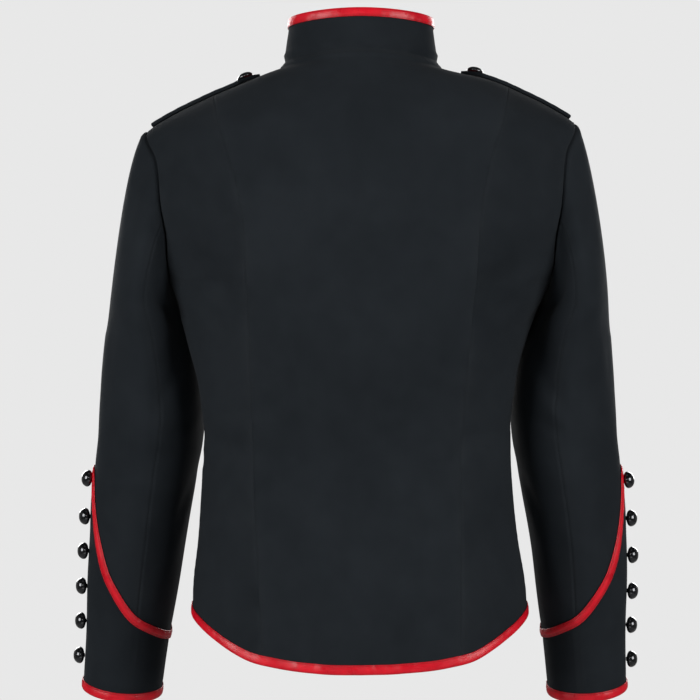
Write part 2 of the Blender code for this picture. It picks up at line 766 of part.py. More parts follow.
def make_hem_bindings():
    seam = back_seam_angles()[0]
    side = np.linspace(seam, 90.0, SIDE_BACK_COLUMNS + 1)
    middle = np.linspace(-seam, seam, BACK_COLUMNS + 1)
    angles = np.concatenate([-side[:0:-1], middle, side[1:]])
    loops = hem_loops(angles)
    sweep("hem_binding_back", draw_back(loops, (None, None), (1, 1)), SATIN)
    angles = front_angles()[0]
    loops = hem_loops(angles, lap=True)
    sweep("hem_binding_front_left", draw_back(loops, (None, None), (1, 0)), SATIN)
    loops = hem_loops(-angles[:FRONT_COLUMNS + 1])
    sweep("hem_binding_front_right", draw_back(loops, (None, None), (1, 0)), SATIN)


# ---- collar ----

def collar_angles():
    """The same angles as the body's top row, and an end near each side of the centre front."""
    back = np.linspace(-90.0, 90.0, BACK_COLUMNS + 1)
    half = front_angles()[-1, 1:-2]
    return np.concatenate([-half[::-1], back, half])


def make_collar():
    angles = collar_angles()
    up = np.array(COLLAR_ROWS)[:, None] + 0.0 * angles
    around = angles + 0.0 * up
    outer = collar_surface(around, up)
    out = collar_facing(around, up)
    out[0] = mitre(out[0], body_facing(angles, NECK_LEVEL + 0.0 * angles))
    inner = outer - out * CLOTH_THICK
    outer[0, :, 2] += SEAM_GAP
    inner[0, :, 2] += SEAM_GAP
    wall("collar", outer, inner)
    top, below = -1, -2
    out[top] = unit(out[top])
    loops = binding_loops(outer[top], out[top], outer[below], out[below])
    sweep("collar_binding", loops, SATIN)


# ---- sleeves and cuffs ----

def mirrored(points, side_name):
    return points * np.array([SIDES[side_name], 1, 1])


def sleeve_grid(turns, side_name):
    """Outer and inner points of a sleeve piece from the armhole to the cuff."""
    outer, inner = [], []
    for down in CAP_ROWS:
        points = cap(turns, down + 0.0 * turns, side_name)
        out = cap_facing(turns, down + 0.0 * turns, side_name)
        if down == 0.0:
            out = armhole_edge(turns, side_name)[1]
        outer.append(points)
        inner.append(points - out * CLOTH_THICK)
    for row in range(TUBE_ROWS + 1):
        level = BICEP_LEVEL + (cuff_line(turns) - BICEP_LEVEL) * row / TUBE_ROWS
        points = tube(turns, level, side_name)
        outer.append(points)
        inner.append(points - tube_facing(turns, level, side_name) * CLOTH_THICK)
    return np.stack(outer), np.stack(inner)


def make_sleeve(side_name):
    pieces = {
        "sleeve_top_": np.arange(FRONT_ARM_SEAM - 360.0, BACK_ARM_SEAM + 1.0, ARMHOLE_STEP),
        "sleeve_under_": np.arange(BACK_ARM_SEAM, FRONT_ARM_SEAM + 1.0, ARMHOLE_STEP),
    }
    for prefix, turns in pieces.items():
        outer, inner = sleeve_grid(turns, side_name)
        rows = np.arange(len(outer))
        outer = draw_back(outer, (rows, rows), (0, 1))
        inner = draw_back(inner, (rows, rows), (0, 1))
        wall(prefix + side_name, mirrored(outer, side_name), mirrored(inner, side_name))


def make_cuff(side_name):
    turns = np.arange(0.0, 360.0, ARMHOLE_STEP)
    bound = CUFF_HEM_LEVEL + BINDING_DEEP
    line = cuff_line(turns)
    levels = [line + (bound - line) * row / CUFF_ROWS for row in range(CUFF_ROWS + 1)]
    levels.append(CUFF_HEM_LEVEL + 0.0 * turns)
    levels = np.stack(levels)
    around = turns + 0.0 * levels
    outer = tube(around, levels, side_name)
    out = tube_facing(around, levels, side_name)
    inner = outer - out * CLOTH_THICK
    loops = binding_loops(outer[-1], out[-1], outer[-2], out[-2])
    outer = mirrored(draw_back(outer, (None, None), (1, 0)), side_name)
    inner = mirrored(draw_back(inner, (None, None), (1, 0)), side_name)
    wall("cuff_" + side_name, outer, inner, around=True)
    sweep("cuff_binding_" + side_name, mirrored(loops, side_name), SATIN, around=True)


def tape_edge(turns, offset, side_name):
    """Points on the sleeve beside the cuff seam, at right angles to it, and their normals."""
    level = cuff_line(turns)
    step = 1.0
    ahead = tube(turns + step, level, side_name)
    behind = tube(turns - step, level, side_name)
    arc = np.linalg.norm(ahead - behind, axis=-1)
    rise = cuff_line(turns + step) - cuff_line(turns - step)
    run = np.hypot(arc, rise)
    turned = turns - offset * rise / run * (2 * step / arc)
    raised = level + offset * arc / run
    return tube(turned, raised, side_name), tube_facing(turned, raised, side_name)


def make_cuff_tape(side_name):
    turns = np.arange(0.0, 360.0, ARMHOLE_STEP)
    low, low_out = tape_edge(turns, -TAPE_WIDE / 2, side_name)
    mid, mid_out = tape_edge(turns, 0.0, side_name)
    high, high_out = tape_edge(turns, TAPE_WIDE / 2, side_name)
    top = TAPE_LIFT + SATIN_THICK
    loops = np.stack([
        low + low_out * TAPE_LIFT,
        low + low_out * top,
        mid + mid_out * top,
        high + high_out * top,
        high + high_out * TAPE_LIFT,
        mid + mid_out * TAPE_LIFT,
    ], axis=1)
    sweep("cuff_tape_" + side_name, mirrored(loops, side_name), SATIN, around=True)


# ---- shoulder straps ----

def shoulder_place(out, back):
    """Angle and level of the shoulder's surface above a point, found by halving."""
    low = np.full(np.shape(out), LOWEST_SHOULDER)
    high = np.full(np.shape(out), NECK_LEVEL)
    for _ in range(HALVINGS):
        level = (low + high) / 2
        depth = np.where(back > 0, read(BODY, "back", level), read(BODY, "front", level))
        square = read(BODY, "square", level)
        beyond = (out / read(BODY, "side", level)) ** square + (np.abs(back) / depth) ** square > 1
        high = np.where(beyond, level, high)
        low = np.where(beyond, low, level)
    return np.degrees(np.arctan2(out, back)), (low + high) / 2


def strap_points(out, back, side_name, height):
    """Points a height above the strap's seat on the shoulder. Its tip stands a little off."""
    angle, level = shoulder_place(out, back - STRAP_FORWARD)
    side = SIDES[side_name]
    tip = STRAP_TIP_LIFT * ease(-(STRAP_TIP + STRAP_LIFTS_OVER), -STRAP_TIP, -out)
    rise = height + STRAP_LIFT + tip
    return body(side * angle, level) + body_facing(side * angle, level) * rise[..., None]


def strap_half_wide(out):
    """Half width of the strap: parallel sides, then a point at the neck end."""
    share = np.clip((out - STRAP_TIP) / STRAP_POINT_LONG, STRAP_TIP_SHARE, 1.0)
    return STRAP_HALF_WIDE * share


def make_strap(side_name):
    stations = np.concatenate([
        np.linspace(STRAP_OUTER, STRAP_TIP + STRAP_POINT_LONG, STRAP_ROWS + 1),
        np.linspace(STRAP_TIP + STRAP_POINT_LONG, STRAP_TIP, POINT_ROWS + 1)[1:],
    ])
    across = np.linspace(-1.0, 1.0, STRAP_COLUMNS + 1)
    out = stations[:, None] + 0.0 * across
    back = strap_half_wide(out) * across
    upper = strap_points(out, back, side_name, np.full(out.shape, STRAP_THICK))
    lower = strap_points(out, back, side_name, np.zeros(out.shape))
    wall("epaulette_" + side_name, upper, lower)
    make_strap_trim(side_name, stations)


def strap_outline(stations, inset):
    """The strap's outline from above, moved in: one side, the tip, the other side, the end."""
    reach = stations.copy()
    reach[0] -= inset
    tip_inset = inset * np.hypot(STRAP_POINT_LONG, STRAP_HALF_WIDE) / STRAP_HALF_WIDE
    reach[-1] += tip_inset
    slope = STRAP_HALF_WIDE / STRAP_POINT_LONG
    half = np.minimum(STRAP_HALF_WIDE - inset, (reach - STRAP_TIP - tip_inset) * slope + STRAP_BLUNT)
    one = np.stack([reach, half], axis=1)
    other = one[::-1] * np.array([1, -1])
    end = np.linspace(-half[0], half[0], STRAP_COLUMNS + 1)[1:-1]
    end = np.stack([np.full(len(end), reach[0]), end], axis=1)
    return np.concatenate([one, other, end])


def make_strap_trim(side_name, stations):
    flat = []
    for inset in (TRIM_INSET, TRIM_INSET + TRIM_WIDE):
        flat.append(strap_outline(stations, inset))
    seat = STRAP_THICK + TRIM_LIFT
    corners = []
    for outline, height in (
        (flat[0], seat),
        (flat[0], seat + SATIN_THICK),
        (flat[1], seat + SATIN_THICK),
        (flat[1], seat),
    ):
        lift = np.full(len(outline), height)
        corners.append(strap_points(outline[:, 0], outline[:, 1], side_name, lift))
    sweep("epaulette_trim_" + side_name, np.stack(corners, axis=1), SATIN, around=True)


# ---- buttons ----

def make_button(name, seat, out, lift=BUTTON_LIFT, tall=BUTTON_TALL):
    """A domed button on its shank, from the cloth up."""
    turns = np.radians(np.arange(BUTTON_SIDES) * 360.0 / BUTTON_SIDES)
    loops = []
    for of_radius, of_height in BUTTON_OUTLINE[1:]:
        radius = of_radius * BUTTON_RADIUS
        height = of_height * tall
        rows = [radius * np.cos(turns), radius * np.sin(turns), height + 0.0 * turns]
        loops.append(np.stack(rows, axis=1))
    button = sweep(name, np.stack(loops), GUNMETAL)
    button.location = Vector(seat + out * lift)
    button.rotation_mode = "QUATERNION"
    button.rotation_quaternion = Vector(out).to_track_quat("Z", "Y")


def make_cuff_buttons(side_name):
    """The buttons droop a little on their shanks, and turn towards the back."""
    for number in range(CUFF_BUTTONS):
        level = np.array(CUFF_BUTTON_FIRST[side_name] - number * CUFF_BUTTON_STEP)
        turn = np.array(CUFF_BUTTON_TURN)
        seat = mirrored(tube(turn, level, side_name), side_name)
        out = tube_facing(turn, level, side_name)
        tilt = Matrix.Rotation(np.radians(CUFF_BUTTON_TILT), 3, "Z")
        out = mirrored(np.array(tilt @ Vector(out)), side_name)
        lift = CUFF_BUTTON_LIFTS[number]
        make_button(f"cuff_button_{side_name}_{number + 1}", seat, out, lift)


def make_strap_button(side_name):
    """Its shank goes through the strap, so it sits lower than the others."""
    out = np.array([STRAP_BUTTON_AT])
    back = np.zeros(1)
    seat = strap_points(out, back, side_name, np.full(1, STRAP_THICK))
    top = strap_points(out, back, side_name, np.full(1, STRAP_THICK + STRAP_BUTTON_TALL))
    make_button("epaulette_button_" + side_name, seat[0], unit(top - seat)[0], tall=STRAP_BUTTON_TALL)


def make_front_buttons():
    for number in range(FRONT_BUTTONS):
        level = np.array(FRONT_BUTTON_FIRST - number * FRONT_BUTTON_STEP)
        angle = np.array(180.0)
        out = body_facing(angle, level)
        make_button(f"front_button_{number + 1}", body(angle, level) + out * LAP_RISE, out)


# ---- the whole jacket ----

def clear_scene():
    for obj in list(bpy.data.objects):
        bpy.data.objects.remove(obj, do_unlink=True)


def hang_on_origin():
    """Parents every piece to an empty at the origin, where the wearer's shoulders hold it."""
    holder = bpy.data.objects.new("jacket", None)
    pieces = list(bpy.context.scene.collection.objects)
    bpy.context.scene.collection.objects.link(holder)
    for piece in pieces:
        piece.parent = holder


def main():
    clear_scene()
    make_back()
    make_fronts()
    make_hem_bindings()
    make_collar()
    for side_name in SIDES:
        make_sleeve(side_name)
        make_cuff(side_name)
        make_cuff_tape(side_name)
        make_strap(side_name)
        make_cuff_buttons(side_name)
        make_strap_button(side_name)
    make_front_buttons()
    hang_on_origin()


main()
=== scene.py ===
import bpy
import numpy as np
from mathutils import Matrix, Vector


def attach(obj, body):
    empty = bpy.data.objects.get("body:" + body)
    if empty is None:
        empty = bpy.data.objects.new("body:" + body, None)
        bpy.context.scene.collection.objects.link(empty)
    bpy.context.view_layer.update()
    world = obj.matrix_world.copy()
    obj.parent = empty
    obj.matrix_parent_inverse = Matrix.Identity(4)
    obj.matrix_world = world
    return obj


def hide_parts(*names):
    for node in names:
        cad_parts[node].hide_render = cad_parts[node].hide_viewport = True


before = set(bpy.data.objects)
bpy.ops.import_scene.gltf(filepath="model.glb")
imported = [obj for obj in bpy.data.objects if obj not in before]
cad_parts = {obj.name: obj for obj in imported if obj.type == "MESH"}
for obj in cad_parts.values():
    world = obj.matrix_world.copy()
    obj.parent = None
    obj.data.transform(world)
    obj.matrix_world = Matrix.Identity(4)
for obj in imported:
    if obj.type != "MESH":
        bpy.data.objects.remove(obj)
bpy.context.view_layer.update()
print("frame loaded,", len(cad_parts), "nodes")

sides = {"left": 1, "right": -1}
allPieces = {}


curves = {}


def curve(table, name):  # a named column of a table, with its slope at each row
    key = (id(table), name)
    if key not in curves:
        data = np.array(table[1:], float)
        data = data[np.argsort(data[:, 0])]
        x, y = data[:, 0], data[:, table[0].index(name)]
        curves[key] = x, y, np.gradient(y, x)
    return curves[key]


def column(table, name, at):
    x, y, slope = curve(table, name)
    at = np.clip(at, x[0], x[-1])
    i = np.clip(np.searchsorted(x, at) - 1, 0, len(x) - 2)
    step = x[i + 1] - x[i]
    t = (at - x[i]) / step
    start = (1 + 2 * t) * (1 - t) ** 2 * y[i] + t * (1 - t) ** 2 * step * slope[i]
    return start + t * t * (3 - 2 * t) * y[i + 1] + t * t * (t - 1) * step * slope[i + 1]


def ease(low, high, at):
    t = np.clip((at - low) / (high - low), 0, 1)
    return t * t * (3 - 2 * t)


def unit(v):
    return v / np.linalg.norm(v, axis=-1, keepdims=True)


probe = {"turn": 0.5, "level": 0.0006, "share": 0.01}  # how far off a surface is felt, to find its facing
edgeRows = (0.0, 0.0007, 0.0015, 0.0026, 0.0042)  # where the first lines beside a cut edge run
lipAt = 1.7  # how far beside a crease its lip stands, in widths of the crease
pucker = {  # lengths in metres a radian, then how much each wave counts
    "main": 0.0019, "fine": 0.0031, "wander": 0.0223, "patch": 0.0127, "stretch": 0.0410,
    "mainShare": 0.7, "fineShare": 0.3, "wandering": 2.2, "mean": 0.62, "swell": 0.38,
    "patchPhase": 1.7, "finePhase": 2.9,
}


def columns(table, names, at):
    return [column(table, name, at) for name in names.split()]


def rowsOf(table):
    return [dict(zip(table[0], row)) for row in table[1:]]


def mirrored(points, side):
    return points * np.array([sides[side], 1, 1])


def facing(surface, u, v, dv=probe["level"]):
    du = probe["turn"]
    return unit(np.cross(surface(u + du, v) - surface(u - du, v), surface(u, v + dv) - surface(u, v - dv)))


def pressed(table, angle, level, radius):  # how far folds and creases push the cloth out
    moved = 0.0
    for fold in rowsOf(table):
        across = radius * np.radians((angle - fold["angle"] + 180) % 360 - 180)
        up = level - fold["level"]
        slant = np.radians(fold["slant"])
        along = (up * np.cos(slant) + across * np.sin(slant)) / fold["long"]
        off = across * np.cos(slant) - up * np.sin(slant)
        off = (off - fold.get("bend", 0) * along ** 2) / fold["wide"]
        trough = np.exp(-off ** 2)
        if "lip" in fold:  # the cloth that a crease pushes up beside itself
            trough = trough - fold["lip"] * np.exp(-(off - lipAt) ** 2)
        moved = moved + fold["depth"] * trough * np.exp(-along ** 2)
    return moved


def unevenWave(along, seed):  # puckers that are never quite the same width or height
    patch = np.sin(along / pucker["patch"] + pucker["patchPhase"] * seed)
    slow = pucker["mean"] + pucker["swell"] * patch * np.sin(along / pucker["stretch"] + seed)
    wandering = pucker["wandering"] * np.sin(along / pucker["wander"] + seed)
    wave = np.sin(along / pucker["main"] + wandering + seed)
    fine = np.sin(along / pucker["fine"] + pucker["finePhase"] * seed)
    return slow * (pucker["mainShare"] * wave + pucker["fineShare"] * fine)


def walked(points, axis):  # distance along each row (axis 1) or column (axis 0) of a grid
    step = np.linalg.norm(np.diff(points, axis=axis), axis=-1)
    start = np.zeros_like(np.take(step, [0], axis=axis))
    return np.concatenate([start, np.cumsum(step, axis=axis)], axis=axis)


def spaced(length, step, near=edgeRows):  # shares of a length, closer together beside both ends
    near = np.array(near)
    middle = np.linspace(near[-1], length - near[-1], max(2, round((length - 2 * near[-1]) / step)) + 1)
    return np.concatenate([near[:-1], middle, length - near[-2::-1]]) / length


cloth = {
    "thick": 0.0020, "seamGap": 0.0003, "sewnGap": 0.0001, "bindingDeep": 0.0090, "tapeHalf": 0.0045,
    "mitreLeast": 0.2, "mitreFades": (-0.2, 0.5),  # cosines between two pieces that meet
}

body = {
    "sections": (
        ("level", "side", "back", "front", "backLift", "frontLift", "square", "shift"),
        (-0.7000, 0.1862, 0.1200, 0.1060, 0.0000, 0.0000, 2.30, 0.0008),
        (-0.6420, 0.1845, 0.1178, 0.1045, 0.0000, 0.0000, 2.30, 0.0010),
        (-0.5890, 0.1826, 0.1145, 0.1020, 0.0000, 0.0000, 2.30, 0.0012),
        (-0.5570, 0.1805, 0.1118, 0.1000, 0.0000, 0.0000, 2.30, 0.0020),
        (-0.5140, 0.1745, 0.1055, 0.0985, 0.0000, 0.0000, 2.30, 0.0032),
        (-0.4700, 0.1705, 0.0985, 0.0975, 0.0000, 0.0000, 2.30, 0.0042),
        (-0.4040, 0.1675, 0.0925, 0.0985, 0.0000, 0.0000, 2.30, 0.0042),
        (-0.3720, 0.1690, 0.0955, 0.1020, 0.0000, 0.0000, 2.32, 0.0038),
        (-0.3280, 0.1735, 0.1040, 0.1080, 0.0000, 0.0000, 2.35, 0.0028),
        (-0.2840, 0.1850, 0.1125, 0.1135, 0.0000, 0.0000, 2.40, 0.0014),
        (-0.2350, 0.2045, 0.1190, 0.1175, 0.0000, -0.0008, 2.43, 0.0000),
        (-0.2000, 0.2222, 0.1212, 0.1185, 0.0000, -0.0030, 2.43, 0.0000),
        (-0.1480, 0.2425, 0.1200, 0.1160, 0.0000, -0.0080, 2.38, 0.0000),
        (-0.1000, 0.2420, 0.1125, 0.1085, 0.0000, -0.0155, 2.28, 0.0000),
        (-0.0620, 0.2310, 0.1025, 0.1005, 0.0000, -0.0230, 2.18, 0.0000),
        (-0.0450, 0.2040, 0.0958, 0.0960, 0.0010, -0.0275, 2.10, 0.0000),
        (-0.0320, 0.1780, 0.0892, 0.0915, 0.0020, -0.0305, 2.05, 0.0000),
        (-0.0180, 0.1460, 0.0820, 0.0865, 0.0035, -0.0335, 2.00, 0.0000),
        (-0.0080, 0.1140, 0.0765, 0.0830, 0.0045, -0.0360, 2.00, 0.0000),
        (-0.0010, 0.0905, 0.0722, 0.0800, 0.0058, -0.0380, 2.00, 0.0000),
        (0.0080, 0.0840, 0.0680, 0.0770, 0.0070, -0.0405, 2.00, 0.0000),
    ),
    "hem": (
        ("away", "level"), (0, -0.6420), (20, -0.6412), (41, -0.6362), (51, -0.6305),
        (60, -0.6190), (66, -0.6108), (76, -0.5985), (90, -0.5890),
    ),
    "backSeam": (
        ("level", "out"), (-0.6450, 0.1040), (-0.5000, 0.1080), (-0.3600, 0.1130), (-0.2500, 0.1200),
        (-0.1580, 0.1260), (-0.1000, 0.1390), (-0.0620, 0.1510), (-0.0440, 0.1550), (-0.0310, 0.1580),
        (-0.0240, 0.1592),
    ),
    "folds": (
        ("angle", "level", "slant", "long", "wide", "depth"),
        (-22, -0.610, 3, 0.085, 0.024, -0.0035), (10, -0.615, -4, 0.075, 0.028, 0.0030),
        (38, -0.590, 6, 0.100, 0.024, -0.0040), (-52, -0.575, -8, 0.090, 0.026, 0.0030),
        (62, -0.225, 30, 0.060, 0.017, -0.0050), (-60, -0.230, -34, 0.066, 0.018, -0.0058),
        (72, -0.405, 78, 0.045, 0.013, -0.0035), (-70, -0.395, -74, 0.050, 0.014, -0.0040),
        (118, -0.230, -32, 0.060, 0.018, -0.0050), (-120, -0.225, 30, 0.058, 0.018, -0.0050),
        (140, -0.400, -70, 0.055, 0.015, -0.0035), (-138, -0.410, 68, 0.050, 0.014, -0.0038),
        (150, -0.600, 5, 0.080, 0.026, -0.0032), (-146, -0.590, -6, 0.085, 0.028, -0.0035),
        (78, -0.300, 4, 0.060, 0.028, 0.0085),
    ),
    "foldRadius": 0.150,
    # finer creases: at the armpits, waist, side seams, buttons, neck and hem
    "creases": (
        ("angle", "level", "slant", "long", "wide", "depth", "bend", "lip"),
        (70, -0.246, 40, 0.034, 0.0070, -0.0016, 0.004, 0.4),
        (77, -0.268, 52, 0.026, 0.0060, -0.0012, -0.003, 0.5),
        (-66, -0.252, -44, 0.040, 0.0075, -0.0018, -0.005, 0.4),
        (-76, -0.276, -58, 0.027, 0.0062, -0.0013, 0.003, 0.5),
        (55, -0.372, 84, 0.036, 0.0075, -0.0010, 0.005, 0.5),
        (80, -0.431, 72, 0.030, 0.0070, -0.0014, 0.004, 0.4),
        (-58, -0.418, -82, 0.040, 0.0080, -0.0012, -0.006, 0.5),
        (-82, -0.366, -80, 0.026, 0.0065, -0.0013, 0.004, 0.4),
        (-34, -0.355, -12, 0.060, 0.0120, -0.0009, 0.006, 0.5),
        (27, -0.330, 9, 0.075, 0.0130, -0.0008, -0.006, 0.5),
        (5, -0.560, -3, 0.070, 0.0130, -0.0010, 0.004, 0.6),
        (-33, -0.545, 5, 0.060, 0.0100, -0.0009, -0.004, 0.5),
        (52, -0.600, 7, 0.050, 0.0110, -0.0013, 0.003, 0.5),
        (-66, -0.560, -9, 0.045, 0.0100, -0.0011, -0.003, 0.5),
        (24, -0.626, 2, 0.026, 0.0080, -0.0009, 0.0, 0.5),
        (-9, -0.622, -5, 0.030, 0.0090, -0.0010, 0.0, 0.6),
        (46, -0.135, 14, 0.045, 0.0110, -0.0010, 0.007, 0.4),
        (-49, -0.145, -12, 0.050, 0.0120, -0.0012, -0.007, 0.4),
        (19, -0.017, 86, 0.030, 0.0055, -0.0006, 0.003, 0.5),
        (-24, -0.020, -84, 0.026, 0.0050, -0.0006, -0.003, 0.5),
        (108, -0.262, -44, 0.036, 0.0075, -0.0018, -0.004, 0.4),
        (100, -0.300, -62, 0.024, 0.0065, -0.0012, 0.003, 0.5),
        (-111, -0.256, 40, 0.038, 0.0078, -0.0019, 0.005, 0.4),
        (-102, -0.292, 60, 0.026, 0.0068, -0.0013, -0.003, 0.5),
        (128, -0.372, -80, 0.034, 0.0075, -0.0013, 0.004, 0.4),
        (112, -0.428, -74, 0.030, 0.0080, -0.0015, -0.004, 0.4),
        (-127, -0.378, 78, 0.036, 0.0078, -0.0014, -0.004, 0.4),
        (-110, -0.432, 76, 0.028, 0.0075, -0.0014, 0.004, 0.4),
        (167, -0.281, 82, 0.026, 0.0052, -0.0011, 0.004, 0.5),
        (168, -0.361, 86, 0.030, 0.0055, -0.0013, -0.003, 0.5),
        (166, -0.441, 84, 0.030, 0.0055, -0.0013, 0.003, 0.5),
        (-167, -0.276, -80, 0.024, 0.0050, -0.0011, -0.004, 0.5),
        (-165, -0.357, -84, 0.030, 0.0056, -0.0012, 0.003, 0.5),
        (-168, -0.446, -86, 0.026, 0.0052, -0.0012, -0.003, 0.5),
        (168, -0.199, 78, 0.022, 0.0050, -0.0008, 0.003, 0.5),
        (167, -0.520, 80, 0.024, 0.0055, -0.0009, 0.003, 0.5),
        (135, -0.565, 4, 0.055, 0.0120, -0.0012, 0.004, 0.5),
        (-131, -0.570, -7, 0.060, 0.0120, -0.0013, -0.004, 0.5),
        (-158, -0.610, 3, 0.035, 0.0090, -0.0010, 0.0, 0.5),
        (163, -0.614, -4, 0.032, 0.0085, -0.0010, 0.0, 0.5),
    ),
    "armholeMiddle": -0.1485, "armholeHalfTall": 0.0865, "armholeBack": 0.068, "armholeFront": 0.072,
    "neckLevel": 0.008, "lowLevel": -0.530, "seamTop": -0.0240,
    "drop": {"left": 0.0050, "right": -0.0040}, "dropAcross": (0.085, 0.150), "dropUp": (-0.175, -0.075),
    "lap": 0.0125, "lapStarts": 0.045, "lapFull": 0.016, "lapRise": 0.0038,
}
body["armholeLow"] = body["armholeMiddle"] - body["armholeHalfTall"]
body["shoulderTip"] = body["armholeMiddle"] + body["armholeHalfTall"]


def ring(angle, side, depth, square):
    turn = np.radians(angle)
    total = (np.abs(np.sin(turn)) / side) ** square + (np.abs(np.cos(turn)) / depth) ** square
    return total ** (-1 / square)


def bodyForm(angle, level):  # angle 0 is the centre back, 90 the wearer's left side
    names = "side back front backLift frontLift square shift"
    side, back, front, backLift, frontLift, square, shift = columns(body["sections"], names, level)
    turn = np.radians(angle)
    atBack = np.cos(turn) > 0
    reach = ring(angle, side, np.where(atBack, back, front), square)
    out = reach * np.sin(turn)
    drop = np.where(out > 0, body["drop"]["left"], body["drop"]["right"])
    drop = drop * ease(*body["dropAcross"], np.abs(out)) * ease(*body["dropUp"], level)
    height = level + np.where(atBack, backLift, frontLift) * np.abs(np.cos(turn)) ** 2 - drop
    return np.stack([out + shift, reach * np.cos(turn), height], axis=-1)


def bodySurface(angle, level):
    out = -facing(bodyForm, angle, level)
    moved = pressed(body["folds"], angle, level, body["foldRadius"])
    moved = moved + pressed(body["creases"], angle, level, body["foldRadius"])
    return bodyForm(angle, level) + out * moved[..., None]


def bodyOut(angle, level):
    return -facing(bodySurface, angle, level)


def sectionAngle(level, out):
    side, back, square = columns(body["sections"], "side back square", level)
    share = np.clip(1 - (out / side) ** square, 0, 1)
    return np.degrees(np.arctan2(out, back * share ** (1 / square)))


def armholePlace(turn):  # turn 0 is the armhole's top, 90 its back, 180 the armpit
    level = body["armholeMiddle"] + body["armholeHalfTall"] * np.cos(np.radians(turn))
    sine = np.sin(np.radians(turn))
    side, back, front, square = columns(body["sections"], "side back front square", level)
    away = np.where(sine > 0, body["armholeBack"], body["armholeFront"]) * sine
    depth = np.where(sine > 0, back, front)
    out = side * (1 - (np.abs(away) / depth) ** square) ** (1 / square)
    return np.degrees(np.arctan2(out, away)), level


def hemLevel(angle):
    away = np.degrees(np.arccos(np.clip(np.abs(np.cos(np.radians(angle))), 0, 1)))
    return column(body["hem"], "level", away)


